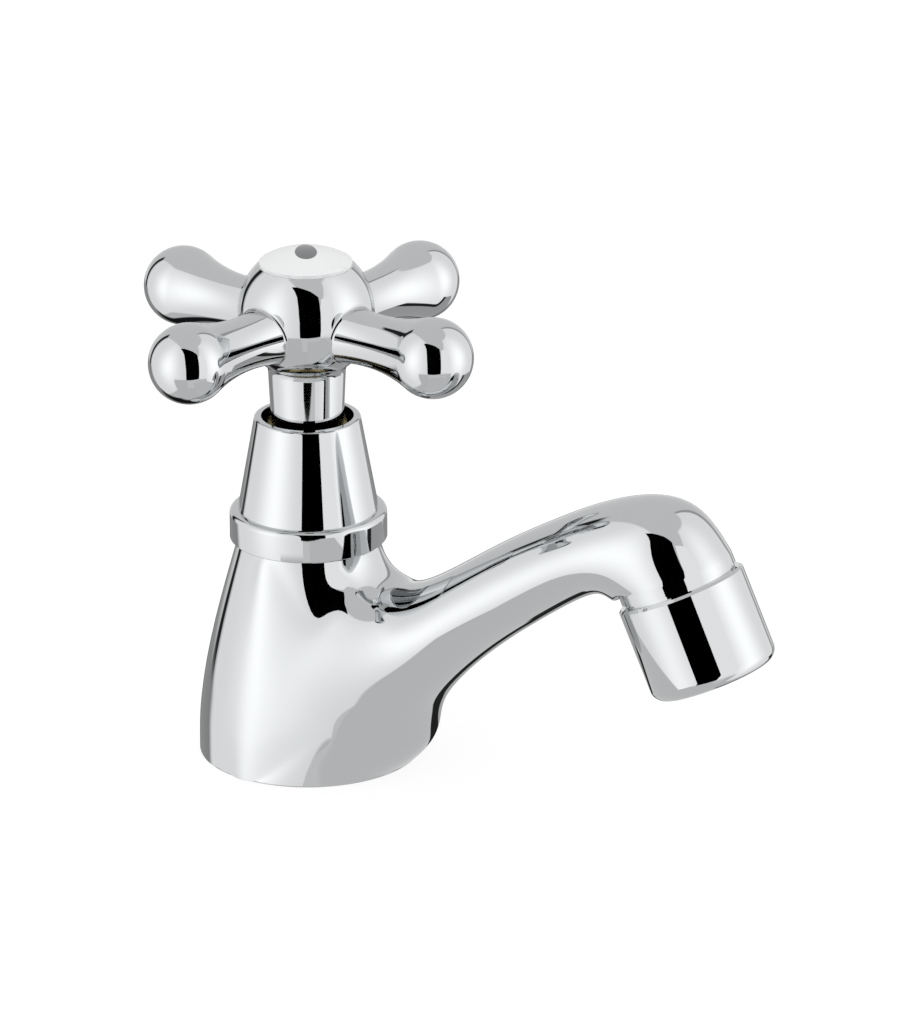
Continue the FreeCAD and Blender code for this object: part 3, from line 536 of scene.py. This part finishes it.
def body_skin():
    """Trunk and spout as one smooth skin: a coarse cage, corrected and subdivided."""
    piece = trunk_cage()
    open_root(piece)
    draw_spout(piece)
    bpy.ops.mesh.select_all(action="SELECT")
    bpy.ops.mesh.normals_make_consistent(inside=False)
    leave_edit()
    draw_through(piece)
    divide = piece.modifiers.new("divide", "SUBSURF")
    divide.levels = SKIN_LEVELS
    divide.render_levels = SKIN_LEVELS
    divide.boundary_smooth = "ALL"
    bpy.context.view_layer.objects.active = piece
    bpy.ops.object.modifier_apply(modifier=divide.name)
    return piece


def select_opening(piece, belongs):
    """Select the open edges of which both points belong, and nothing else."""
    bpy.ops.mesh.select_all(action="DESELECT")
    skin = bmesh.from_edit_mesh(piece.data)
    for edge in skin.edges:
        edge.select = edge.is_boundary and all(belongs(point.co) for point in edge.verts)


def body():
    """The casting: its skin, its foot and mouth, and the nozzle's thread."""
    piece = body_skin()
    edit(piece, "EDGE")
    select_opening(piece, lambda place: abs(place.z - mm(BASE_EDGE)) < mm(SAME_HEIGHT))
    for i in range(1, BASE_EDGE_STEPS + 1):
        turn = math.pi / 2 * i / BASE_EDGE_STEPS
        radius = BASE_RADIUS - BASE_EDGE + BASE_EDGE * math.cos(turn)
        height = BASE_EDGE - BASE_EDGE * math.sin(turn)
        ring_to(radius, height)
    seam = TRUNK_HEIGHT - MOUTH_SEAM
    for radius, height in ((GASKET_RECESS_RADIUS, 0), (GASKET_RECESS_RADIUS, GASKET_RECESS_TOP),
                           (INLET_RADIUS, GASKET_RECESS_TOP), (INLET_RADIUS, INLET_TOP),
                           (MOUTH_RADIUS, INLET_TOP), (MOUTH_RADIUS, seam)):
        ring_to(radius, height)
    select_opening(piece, lambda place: (place.z > mm(TRUNK_HEIGHT - SAME_HEIGHT)
                                         and place.x < mm(OPENINGS_PART)))
    ring_to(MOUTH_RADIUS, TRUNK_HEIGHT)
    ring_to(MOUTH_RADIUS, seam)
    select_opening(piece, lambda place: place.x > mm(OPENINGS_PART))
    nozzle_ring_to(NOZZLE_THREAD_RADIUS, 0)
    nozzle_ring_to(NOZZLE_THREAD_RADIUS, NOZZLE_THREAD_LENGTH)
    nozzle_ring_to(NOZZLE_BORE, NOZZLE_THREAD_LENGTH)
    nozzle_ring_to(NOZZLE_BORE, -NOZZLE_BORE_TOP)
    bpy.ops.mesh.edge_face_add()
    bpy.ops.mesh.select_all(action="SELECT")
    bpy.ops.mesh.remove_doubles(threshold=mm(MERGE))
    bpy.ops.mesh.normals_make_consistent(inside=False)
    leave_edit()
    smooth(piece, BODY_SMOOTH_ANGLE)
    return piece


def ring_to(radius, height):
    """Extrude the selected ring round Z to a radius and height."""
    piece = bpy.context.edit_object
    bpy.ops.mesh.extrude_region_move()
    skin = bmesh.from_edit_mesh(piece.data)
    for point in selected_points(skin):
        turn = math.atan2(point.co.y, point.co.x)
        point.co = (mm(radius) * math.cos(turn), mm(radius) * math.sin(turn), mm(height))
    bmesh.update_edit_mesh(piece.data)


def nozzle_ring_to(radius, along):
    """Extrude the selected ring round the nozzle's line to a radius and distance."""
    piece = bpy.context.edit_object
    bpy.ops.mesh.extrude_region_move()
    skin = bmesh.from_edit_mesh(piece.data)
    lean = math.radians(NOZZLE_LEAN)
    flow = Vector((math.sin(lean), 0, -math.cos(lean)))
    across = Vector((math.cos(lean), 0, math.sin(lean)))
    origin = Vector((mm(NOZZLE_X), 0, mm(NOZZLE_Z)))
    for point in selected_points(skin):
        away = point.co - origin
        turn = math.atan2(away.y, away.dot(across))
        point.co = (origin + flow * mm(along)
                    + (across * math.cos(turn) + Vector((0, 1, 0)) * math.sin(turn)) * mm(radius))
    bmesh.update_edit_mesh(piece.data)


# ---------------------------------------------------------------- turned pieces

def shroud():
    """Collar and cone."""
    collar_top = TRUNK_HEIGHT + COLLAR_HEIGHT
    bevel_z = SHROUD_TOP - RIM_BEVEL
    piece = draw_outline("collar_and_cone", (SHROUD_BORE, TRUNK_HEIGHT), [
        ("to", COLLAR_RADIUS - COLLAR_CHAMFER, TRUNK_HEIGHT),
        ("to", COLLAR_RADIUS, TRUNK_HEIGHT + COLLAR_CHAMFER),
        ("to", COLLAR_RADIUS, collar_top - COLLAR_ROUND),
        corner_arc(COLLAR_RADIUS - COLLAR_ROUND, collar_top - COLLAR_ROUND, 90, steps=8),
        ("to", CONE_LOW_RADIUS, collar_top),
        ("to", CONE_TOP_RADIUS, bevel_z),
        corner_arc(CONE_TOP_RADIUS - RIM_BEVEL, bevel_z, 90),
        ("to", RIM_RADIUS, SHROUD_TOP),
        ("to", CONE_TOP_RADIUS - SHROUD_WALL, bevel_z),
        ("to", CONE_LOW_RADIUS - SHROUD_WALL, SHROUD_SHOULDER),
        ("to", SHROUD_BORE, SHROUD_SHOULDER),
        ("to", SHROUD_BORE, TRUNK_HEIGHT)])
    turn_solid(piece, WIDE_STEPS, SHROUD_SMOOTH_ANGLE)
    return piece


def sleeve():
    """Sleeve of the aerator, with a rounded lower edge."""
    floor = SLEEVE_LENGTH - SLEEVE_LIP_THICKNESS
    piece = draw_outline("aerator_sleeve_shell", (SLEEVE_BORE, 0), [
        ("to", SLEEVE_RADIUS - SLEEVE_TOP_CHAMFER, 0),
        ("to", SLEEVE_RADIUS, SLEEVE_TOP_CHAMFER),
        ("to", SLEEVE_RADIUS, SLEEVE_LENGTH - SLEEVE_ROUND),
        corner_arc(SLEEVE_RADIUS - SLEEVE_ROUND, SLEEVE_LENGTH - SLEEVE_ROUND, 90, steps=12),
        ("to", SLEEVE_LIP_RADIUS, SLEEVE_LENGTH),
        ("to", SLEEVE_LIP_RADIUS, floor),
        ("to", SLEEVE_BORE, floor),
        ("to", SLEEVE_BORE, 0)])
    turn_solid(piece, WIDE_STEPS)
    at_nozzle(piece, SLEEVE_GAP)
    return piece


def hub_top():
    """Height of the hub's edge round the button."""
    return HUB_HEIGHT + math.sqrt(HUB_RADIUS ** 2 - INDEX_RADIUS ** 2)


def hub():
    """Ball of the handle, with its cove and skirt, and the well of the button."""
    out = SKIRT_RADIUS + HUB_COVE
    between = HUB_RADIUS + HUB_COVE
    drop = math.sqrt(between ** 2 - out ** 2)
    cove_z = HUB_HEIGHT - drop
    foot = SKIRT_RADIUS - (cove_z - SKIRT_FOOT) * math.tan(math.radians(SKIRT_DRAFT))
    top = hub_top()
    low_angle = math.degrees(math.atan2(drop, out))
    high_angle = math.degrees(math.atan2(top - HUB_HEIGHT, INDEX_RADIUS))
    piece = draw_outline("cross_handle", (SKIRT_BORE, SKIRT_LOW), [
        ("to", foot, SKIRT_LOW),
        ("to", foot, SKIRT_FOOT),
        ("to", SKIRT_RADIUS, cove_z),
        corner_arc(out, cove_z, -low_angle, steps=12),
        corner_arc(0, HUB_HEIGHT, low_angle + high_angle, steps=48),
        ("to", INDEX_RADIUS - INDEX_LEDGE, top),
        ("to", INDEX_RADIUS - INDEX_LEDGE, top - INDEX_WELL),
        ("to", SKIRT_BORE, top - INDEX_WELL),
        ("to", SKIRT_BORE, SKIRT_LOW)])
    turn_solid(piece, WIDE_STEPS)
    return piece


def arm_shape():
    """Where the ball is, its distance from the neck, and the stem's hollow arc: radius and lift."""
    ball = ARM_REACH - ARM_BALL_RADIUS
    span = ball - ARM_NECK_AT
    hollow = ((span ** 2 + ARM_NECK_RADIUS ** 2 - ARM_BALL_RADIUS ** 2)
              / (2 * (ARM_BALL_RADIUS - ARM_NECK_RADIUS)))
    lift = ARM_NECK_RADIUS + hollow
    return ball, span, hollow, lift


def arm():
    """One arm of the handle along +X: a stem that swells into a ball."""
    ball, span, hollow, lift = arm_shape()
    root = lift - math.sqrt(hollow ** 2 - (ARM_NECK_AT - ARM_ROOT_AT) ** 2)
    swing_in = math.degrees(math.asin((ARM_NECK_AT - ARM_ROOT_AT) / hollow))
    swing_out = math.degrees(math.atan2(span, lift))
    piece = draw_outline("cross_arm", (0, ARM_ROOT_AT), [
        ("to", root, ARM_ROOT_AT),
        corner_arc(lift, ARM_NECK_AT, -(swing_in + swing_out), steps=40),
        corner_arc(0, ball, 90 + swing_out, steps=40)])
    turn_solid(piece, ARM_STEPS)
    return piece


def fillet_section(side):
    """Closed section of the arm's fillet on one side of the arm, rolled between ball and stem."""
    _, _, hollow, lift = arm_shape()
    hub_centre = Vector((ARM_HEIGHT - HUB_HEIGHT, 0, 0))
    low, high = ARM_ROOT_AT, ARM_NECK_AT
    for _ in range(HALVINGS):
        along = (low + high) / 2
        radius = lift - math.sqrt((hollow - ARM_FILLET) ** 2 - (along - ARM_NECK_AT) ** 2)
        centre = side * radius + Vector((0, 0, along))
        if (centre - hub_centre).length < HUB_RADIUS + ARM_FILLET:
            low = along
        else:
            high = along
    on_hub = hub_centre + (centre - hub_centre) * HUB_RADIUS / (HUB_RADIUS + ARM_FILLET)
    arc_centre = side * lift + Vector((0, 0, ARM_NECK_AT))
    on_stem = arc_centre + (centre - arc_centre) * hollow / (hollow - ARM_FILLET)
    to_hub = (on_hub - centre).normalized()
    to_stem = (on_stem - centre).normalized()
    section = [centre + to_hub.slerp(to_stem, k / FILLET_STEPS) * ARM_FILLET
               for k in range(FILLET_STEPS + 1)]
    section.append(centre + (to_hub + to_stem) * ARM_FILLET * ARM_FILLET_BACK)
    return section


def arm_fillet():
    """Small fillet round the arm's root: a torus, each of its points then put in place."""
    bpy.ops.object.select_all(action="DESELECT")
    bpy.ops.mesh.primitive_torus_add(major_segments=ARM_STEPS, minor_segments=FILLET_STEPS + 2,
                                     major_radius=mm(ARM_NECK_RADIUS), minor_radius=mm(ARM_FILLET))
    piece = bpy.context.object
    piece.name = "arm_fillet"
    places = []
    for i in range(ARM_STEPS):
        turn = 2 * math.pi * i / ARM_STEPS
        places += fillet_section(Vector((math.cos(turn), math.sin(turn), 0)))
    for point, place in zip(piece.data.vertices, places):
        point.co = mm(place)
    edit(piece)
    bpy.ops.mesh.select_all(action="SELECT")
    bpy.ops.mesh.normals_make_consistent(inside=False)
    leave_edit()
    smooth(piece, SMOOTH_ANGLE)
    return piece


def cross_handle():
    """Hub, four arms and their fillets, joined."""
    whole = hub()
    limbs = []
    for make in (arm, arm_fillet):
        first = make()
        for i in range(ARM_COUNT):
            limb = first
            if i:
                limb = first.copy()
                limb.data = first.data.copy()
                bpy.context.collection.objects.link(limb)
            limbs.append((limb, i))
    for limb, i in limbs:
        turn = math.radians(ARM_FIRST_ANGLE + i * 360 / ARM_COUNT)
        limb.matrix_world = (Matrix.Translation((0, 0, mm(ARM_HEIGHT))) @ Matrix.Rotation(turn, 4, "Z")
                             @ Matrix.Rotation(math.pi / 2, 4, "Y"))
        settle(limb)
    bpy.ops.object.select_all(action="DESELECT")
    for limb, _ in limbs:
        limb.select_set(True)
    whole.select_set(True)
    bpy.context.view_layer.objects.active = whole
    bpy.ops.object.join()
    return whole


def button():
    """White domed button in the hub's top."""
    top = hub_top()
    radius = INDEX_RADIUS - INDEX_GROOVE
    dome = INDEX_DOME - INDEX_RIM
    sphere = (radius ** 2 + dome ** 2) / (2 * dome)
    rim_high = top + INDEX_RIM
    swing = math.degrees(math.asin(radius / sphere))
    piece = draw_outline("white_button", (0, top - INDEX_PLUG), [
        ("to", radius - INDEX_LEDGE, top - INDEX_PLUG),
        ("to", radius - INDEX_LEDGE, top),
        ("to", radius, top),
        ("to", radius, rim_high),
        corner_arc(0, rim_high + dome - sphere, swing, steps=24)])
    turn_solid(piece, BUTTON_STEPS)
    return piece


# ---------------------------------------------------------------- materials

def new_material(name):
    """An empty node material with its shader."""
    material = bpy.data.materials.new(name)
    material.use_nodes = True
    return material, material.node_tree.nodes["Principled BSDF"]


def grain_group():
    """Shared effect: a fine grain, as a mask and as a roughness between two values."""
    group = bpy.data.node_groups.new("surface_grain", "ShaderNodeTree")
    for name in ("Scale", "Smooth", "Rough"):
        group.interface.new_socket(name, in_out="INPUT", socket_type="NodeSocketFloat")
    for name in ("Mask", "Roughness"):
        group.interface.new_socket(name, in_out="OUTPUT", socket_type="NodeSocketFloat")
    nodes, links = group.nodes, group.links
    given = nodes.new("NodeGroupInput")
    place = nodes.new("ShaderNodeTexCoord")
    noise = nodes.new("ShaderNodeTexNoise")
    noise.inputs["Detail"].default_value = GRAIN_DETAIL
    links.new(place.outputs["Object"], noise.inputs["Vector"])
    links.new(given.outputs["Scale"], noise.inputs["Scale"])
    spread = nodes.new("ShaderNodeMapRange")
    links.new(noise.outputs["Fac"], spread.inputs["Value"])
    links.new(given.outputs["Smooth"], spread.inputs["To Min"])
    links.new(given.outputs["Rough"], spread.inputs["To Max"])
    result = nodes.new("NodeGroupOutput")
    links.new(noise.outputs["Fac"], result.inputs["Mask"])
    links.new(spread.outputs["Result"], result.inputs["Roughness"])
    return group


def add_grain(material, scale, smooth, rough):
    """Put the shared grain on a material's roughness, and return the group's node."""
    nodes, links = material.node_tree.nodes, material.node_tree.links
    grain = nodes.new("ShaderNodeGroup")
    grain.node_tree = bpy.data.node_groups.get("surface_grain") or grain_group()
    grain.inputs["Scale"].default_value = scale
    grain.inputs["Smooth"].default_value = smooth
    grain.inputs["Rough"].default_value = rough
    links.new(grain.outputs["Roughness"], nodes["Principled BSDF"].inputs["Roughness"])
    return grain


def chrome():
    """Polished chrome plate with very fine polishing marks."""
    material, shader = new_material("polished_chrome")
    shader.inputs["Metallic"].default_value = 1.0
    shader.inputs["Base Color"].default_value = CHROME_TONE
    add_grain(material, scale=90.0, smooth=0.01, rough=0.04)
    return material


def plain(name, colour, roughness, metallic=0.0, grain=400.0, change=0.12):
    """A finish whose tone and roughness vary a little over the surface."""
    material, shader = new_material(name)
    nodes, links = material.node_tree.nodes, material.node_tree.links
    shader.inputs["Metallic"].default_value = metallic
    effect = add_grain(material, grain, roughness * SMOOTHER, min(roughness * ROUGHER, 1))
    tone = nodes.new("ShaderNodeMix")
    tone.data_type = "RGBA"
    tone.inputs["A"].default_value = tuple(c * (1 - change) for c in colour) + (1,)
    tone.inputs["B"].default_value = tuple(min(c * (1 + change), 1) for c in colour) + (1,)
    links.new(effect.outputs["Mask"], tone.inputs["Factor"])
    links.new(tone.outputs["Result"], shader.inputs["Base Color"])
    return material


def add_mark(material):
    """Print a plain grey water drop on the button's top."""
    nodes, links = material.node_tree.nodes, material.node_tree.links
    shader = nodes["Principled BSDF"]
    ground = shader.inputs["Base Color"].links[0].from_socket
    sums = Sums(material.node_tree)
    along, across, _ = sums.turned("Object", MARK_TURN, 1 / mm(MARK_LENGTH / 2))
    to_tip = sums.maths("SUBTRACT", 1.0, along)
    from_end = sums.maths("ADD", 1.0, along)
    # A drop's half width is widest a third of the way along; its square there is 32 / 27.
    full = (MARK_WIDTH / MARK_LENGTH) ** 2 * 27 / 32
    narrowing = sums.maths("MULTIPLY", to_tip, to_tip)
    outline = sums.maths("MULTIPLY", narrowing, sums.maths("MULTIPLY", from_end, full))
    spare = sums.maths("SUBTRACT", outline, sums.maths("MULTIPLY", across, across))
    inside = sums.maths("MULTIPLY", sums.edge(spare, 0.0, MARK_SOFT), sums.edge(to_tip, 0.0, MARK_SOFT))
    tone = nodes.new("ShaderNodeMix")
    tone.data_type = "RGBA"
    links.new(inside, tone.inputs["Factor"])
    links.new(ground, tone.inputs["A"])
    tone.inputs["B"].default_value = MARK_TONE
    links.new(tone.outputs["Result"], shader.inputs["Base Color"])


def dress(piece, material):
    """Give a piece one material."""
    piece.data.materials.clear()
    piece.data.materials.append(material)


# ---------------------------------------------------------------- studio

class Sums:
    """Small helper that adds maths and mixing nodes to a node tree."""

    def __init__(self, tree):
        self.tree = tree

    def turned(self, coordinates, angle, scale=1.0):
        """X, Y and Z of a texture coordinate in axes turned round Z, times a scale."""
        where = self.tree.nodes.new("ShaderNodeTexCoord")
        turn = self.tree.nodes.new("ShaderNodeMapping")
        turn.inputs["Rotation"].default_value = (0, 0, -math.radians(angle))
        turn.inputs["Scale"].default_value = (scale, scale, scale)
        self.tree.links.new(where.outputs[coordinates], turn.inputs["Vector"])
        split = self.tree.nodes.new("ShaderNodeSeparateXYZ")
        self.tree.links.new(turn.outputs["Vector"], split.inputs["Vector"])
        return split.outputs

    def mix(self, share, first, second):
        """Mix of two shaders, by a number or an output."""
        node = self.tree.nodes.new("ShaderNodeMixShader")
        if isinstance(share, float):
            node.inputs["Fac"].default_value = share
        else:
            self.tree.links.new(share, node.inputs["Fac"])
        self.tree.links.new(first, node.inputs[1])
        self.tree.links.new(second, node.inputs[2])
        return node.outputs[0]

    def emission(self, strength):
        """A white glow, by a number or an output."""
        node = self.tree.nodes.new("ShaderNodeEmission")
        if isinstance(strength, float):
            node.inputs["Strength"].default_value = strength
        else:
            self.tree.links.new(strength, node.inputs["Strength"])
        return node.outputs[0]

    def diffuse(self, colour):
        """A matt surface."""
        node = self.tree.nodes.new("ShaderNodeBsdfDiffuse")
        node.inputs["Color"].default_value = colour
        return node.outputs[0]

    def maths(self, operation, first, second=None):
        """One maths node; numbers and outputs may be mixed."""
        node = self.tree.nodes.new("ShaderNodeMath")
        node.operation = operation
        for socket, value in zip(node.inputs, (first, second)):
            if value is None:
                continue
            if isinstance(value, (int, float)):
                socket.default_value = value
            else:
                self.tree.links.new(value, socket)
        return node.outputs[0]

    def edge(self, value, at, soft):
        """0 below an edge and 1 above it, with a soft step."""
        node = self.tree.nodes.new("ShaderNodeMapRange")
        node.interpolation_type = "SMOOTHSTEP"
        self.tree.links.new(value, node.inputs["Value"])
        for name, bound in (("From Min", -soft), ("From Max", soft)):
            if isinstance(at, (int, float)):
                node.inputs[name].default_value = at + bound
            else:
                self.tree.links.new(self.maths("ADD", at, bound), node.inputs[name])
        return node.outputs["Result"]

    def rest(self, mask):
        """What a mask leaves out."""
        return self.maths("SUBTRACT", 1.0, mask)

    def band(self, value, low, high, soft):
        """1 between two edges and 0 outside."""
        return self.maths("MULTIPLY", self.edge(value, low, soft), self.rest(self.edge(value, high, soft)))

    def line(self, value, slope, start):
        """A straight line over a value."""
        return self.maths("ADD", self.maths("MULTIPLY", value, slope), start)

    def arch(self, side, middle, rise):
        """Height in degrees of a straight edge that passes overhead, highest at its middle."""
        away = self.maths("MULTIPLY", self.maths("SUBTRACT", side, middle), math.pi / 180)
        slope = self.maths("MULTIPLY", self.maths("COSINE", away), rise)
        return self.maths("MULTIPLY", self.maths("ARCTANGENT", slope), 180 / math.pi)

    def blend(self, under, over, mask):
        """under where the mask is 0 and over where it is 1."""
        lift = self.maths("SUBTRACT", over, under)
        return self.maths("ADD", under, self.maths("MULTIPLY", lift, mask))


def studio():
    """Soft light tent: bright walls left and right, grey above and below, dark gaps behind."""
    world = bpy.data.worlds.new("light_tent")
    bpy.context.scene.world = world
    world.use_nodes = True
    tree = world.node_tree
    nodes, links = tree.nodes, tree.links
    nodes.clear()
    sums = Sums(tree)
    right, back, up = sums.turned("Generated", CAMERA_AZIMUTH)
    front = sums.maths("MULTIPLY", back, -1.0)
    side = sums.maths("MULTIPLY", sums.maths("ARCTAN2", right, front), 180 / math.pi)
    height = sums.maths("MULTIPLY", sums.maths("ARCSINE", up), 180 / math.pi)

    # The walls are brightest opposite each lamp and fade evenly away from it.
    wall = WALL_TONE
    for lamp_side, gain in LAMPS:
        away = sums.maths("DIVIDE", sums.maths("SUBTRACT", side, lamp_side), LAMP_WIDTH)
        rise = sums.maths("DIVIDE", sums.maths("SUBTRACT", height, LAMP_HEIGHT), LAMP_RISE)
        spread = sums.maths("ADD", sums.maths("MULTIPLY", away, away), sums.maths("MULTIPLY", rise, rise))
        glow = sums.maths("EXPONENT", sums.maths("MULTIPLY", spread, -1.0))
        wall = sums.maths("ADD", sums.maths("MULTIPLY", glow, gain), wall)

    # Upper and lower edges of the walls, which bend with the direction.
    left_top = sums.arch(side, *LEFT_TOP_ARCH)
    right_top = sums.maths("MINIMUM", sums.line(side, *RIGHT_TOP_SLOPE), RIGHT_TOP_LIMIT)
    left_low = sums.maths("MULTIPLY", sums.arch(side, *LEFT_LOW_ARCH), -1.0)
    right_low = sums.maths("MULTIPLY", sums.arch(side, *RIGHT_LOW_ARCH), -1.0)
    right_half = sums.edge(side, 0.0, MIDDLE_SOFT)
    top = sums.blend(left_top, right_top, right_half)
    low = sums.blend(left_low, right_low, right_half)
    low = sums.blend(low, AHEAD_LOW, sums.band(side, *AHEAD_SPAN))
    upright = sums.band(height, low, top, WALL_EDGE_SOFT)
    walls = sums.maths("MULTIPLY", sums.band(side, *WALL_SPAN), upright)

    ceiling = sums.blend(TABLE_TONE, CEILING_TONE, sums.edge(height, 0.0, CEILING_BLEND))
    tone = sums.blend(ceiling, wall, walls)
    for place, sideways, upward, shade in BACKDROP:
        span = sums.band(side, *sideways)
        if place == "beyond":
            span = sums.rest(span)
        tone = sums.blend(tone, shade, sums.maths("MULTIPLY", span, sums.band(height, *upward)))

    path = nodes.new("ShaderNodeLightPath")
    shown = sums.blend(tone, 1.0, path.outputs["Is Camera Ray"])
    light = nodes.new("ShaderNodeBackground")
    light.inputs["Color"].default_value = WHITE
    links.new(shown, light.inputs["Strength"])
    output = nodes.new("ShaderNodeOutputWorld")
    links.new(light.outputs["Background"], output.inputs["Surface"])


def tent_panel(name, outline, strength):
    """One flat part of the tent in front of the tap, seen only in what it reflects."""
    piece = draw_outline(name, outline[0], [("to", x, z) for x, z in outline[1:]])
    bpy.ops.mesh.select_all(action="SELECT")
    bpy.ops.mesh.edge_face_add()
    leave_edit()
    turn = math.radians(CAMERA_AZIMUTH)
    piece.rotation_euler = (0, 0, turn)
    piece.location = (mm(PANEL_DISTANCE) * math.sin(turn), -mm(PANEL_DISTANCE) * math.cos(turn), 0)
    settle(piece)
    material = bpy.data.materials.new(name)
    material.use_nodes = True
    nodes, links = material.node_tree.nodes, material.node_tree.links
    nodes.clear()
    output = nodes.new("ShaderNodeOutputMaterial")
    links.new(Sums(material.node_tree).emission(strength), output.inputs["Surface"])
    dress(piece, material)
    piece.visible_camera = False
    piece.visible_shadow = False
    piece.visible_diffuse = False


def floor():
    """Pale floor at the deck's height: nearly white to the camera, and to the chrome a glowing grey
    painted shadow.
    """
    bpy.ops.object.select_all(action="DESELECT")
    bpy.ops.mesh.primitive_plane_add(size=mm(FLOOR_WIDTH), location=(0, 0, 0))
    piece = bpy.context.object
    piece.name = "pale_floor"
    material = bpy.data.materials.new("pale_floor")
    material.use_nodes = True
    nodes, links = material.node_tree.nodes, material.node_tree.links
    nodes.clear()
    sums = Sums(material.node_tree)
    path = nodes.new("ShaderNodeLightPath")
    white = sums.mix(FLOOR_GLOW_SHARE, sums.diffuse(FLOOR_PALE), sums.emission(FLOOR_GLOW))
    seen = sums.mix(path.outputs["Is Camera Ray"], sums.diffuse(FLOOR_MATT), white)

    # What the chrome reflects of the floor is a painted reflection: glowing patches of painted shadow, a
    # dark band of painted shadow, and the tent beyond.
    aside, back, _ = sums.turned("Object", CAMERA_AZIMUTH)
    nearer = sums.maths("MULTIPLY", back, -1.0)
    painted_shadow, shade = 0.0, PAINTED_SHADOW_TONE
    for left, right, far, near, tone in PAINTED_SHADOW_PATCHES:
        patch = sums.maths("MULTIPLY", sums.band(aside, mm(left), mm(right), mm(PAINTED_SHADOW_SOFT)),
                           sums.band(nearer, mm(far), mm(near), mm(PAINTED_SHADOW_SOFT)))
        painted_shadow = sums.maths("MAXIMUM", painted_shadow, patch)
        shade = sums.blend(shade, tone, patch)
    # Painted shadow: a dark band behind the spout that widens to the right
    past = sums.maths("SUBTRACT", aside, mm(STRIP_FROM))
    strip_near, strip_far = (sums.line(past, -fall, mm(start)) for start, fall in (STRIP_NEAR, STRIP_FAR))
    strip = sums.maths("MULTIPLY", sums.band(nearer, strip_far, strip_near, mm(STRIP_SOFT)),
                       sums.edge(aside, mm(STRIP_START), mm(PAINTED_SHADOW_SOFT)))
    # Painted reflection: to the chrome the floor glows in these tones of painted shadow
    grey = sums.emission(sums.blend(shade, PAINTED_SHADOW_STRIP_TONE, strip))
    clear = nodes.new("ShaderNodeBsdfTransparent").outputs[0]
    mirrored = sums.mix(painted_shadow, clear, grey)
    above = sums.mix(path.outputs["Is Glossy Ray"], seen, mirrored)
    geometry = nodes.new("ShaderNodeNewGeometry")
    output = nodes.new("ShaderNodeOutputMaterial")
    links.new(sums.mix(geometry.outputs["Backfacing"], above, clear), output.inputs["Surface"])
    dress(piece, material)


def camera():
    """Camera at the photograph's place."""
    data = bpy.data.cameras.new("camera")
    data.sensor_fit = "VERTICAL"
    data.sensor_height = CAMERA_FILM
    data.lens = CAMERA_LENS
    data.clip_start = mm(CAMERA_NEAR)
    data.clip_end = mm(CAMERA_FAR)
    eye = bpy.data.objects.new("camera", data)
    bpy.context.collection.objects.link(eye)
    eye.location = [mm(v) for v in CAMERA_PLACE]
    eye.rotation_euler = Euler([math.radians(v) for v in CAMERA_TURN], "XYZ")
    bpy.context.scene.camera = eye


# ---------------------------------------------------------------- scene

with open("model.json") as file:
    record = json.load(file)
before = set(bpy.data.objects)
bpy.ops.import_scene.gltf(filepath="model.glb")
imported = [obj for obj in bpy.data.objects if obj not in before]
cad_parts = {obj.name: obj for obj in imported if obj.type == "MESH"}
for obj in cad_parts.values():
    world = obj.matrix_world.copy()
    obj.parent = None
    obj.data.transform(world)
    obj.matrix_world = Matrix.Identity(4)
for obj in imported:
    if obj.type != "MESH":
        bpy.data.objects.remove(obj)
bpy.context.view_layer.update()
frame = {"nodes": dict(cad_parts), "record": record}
bpy.context.scene.view_settings.view_transform = "Standard"

bright = chrome()
brass = plain("machined_brass", (0.70, 0.55, 0.28), 0.28, metallic=1.0, grain=900.0)
steel = plain("bright_steel", (0.58, 0.58, 0.57), 0.3, metallic=1.0, grain=900.0)
fibre = plain("pressed_fibre", (0.42, 0.10, 0.07), 0.7, grain=2500.0)
rubber = plain("black_rubber", (0.02, 0.02, 0.021), 0.55, grain=1200.0)
white_plastic = plain("white_plastic", (0.86, 0.865, 0.87), 0.12, grain=150.0, change=0.01)
add_mark(white_plastic)
grey_plastic = plain("moulded_plastic", (0.62, 0.63, 0.64), 0.4, grain=1500.0)
finishes = {"chrome_body": bright, "brass": brass, "steel": steel, "fibre": fibre, "black_rubber": rubber,
            "white_plastic": white_plastic, "grey_plastic": grey_plastic}
for part in frame["record"]["subparts"]:
    dress(frame["nodes"][part["node"]], finishes[part["material_slot"]])

for make, node, slot, owner in ((body, "body_casting", "chrome_body", "tap_body"),
                                (shroud, "shroud", "chrome_body", "tap_body"),
                                (sleeve, "aerator_sleeve", "chrome_body", "tap_body"),
                                (cross_handle, "handle_cross", "chrome_body", "handle"),
                                (button, "index_button", "white_plastic", "handle")):
    made = make()
    dress(made, finishes[slot])
    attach(made, owner)
    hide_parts(node)

studio()
for name, outline, strength in TENT_PANELS:
    tent_panel(name, outline, strength)
floor()
camera()
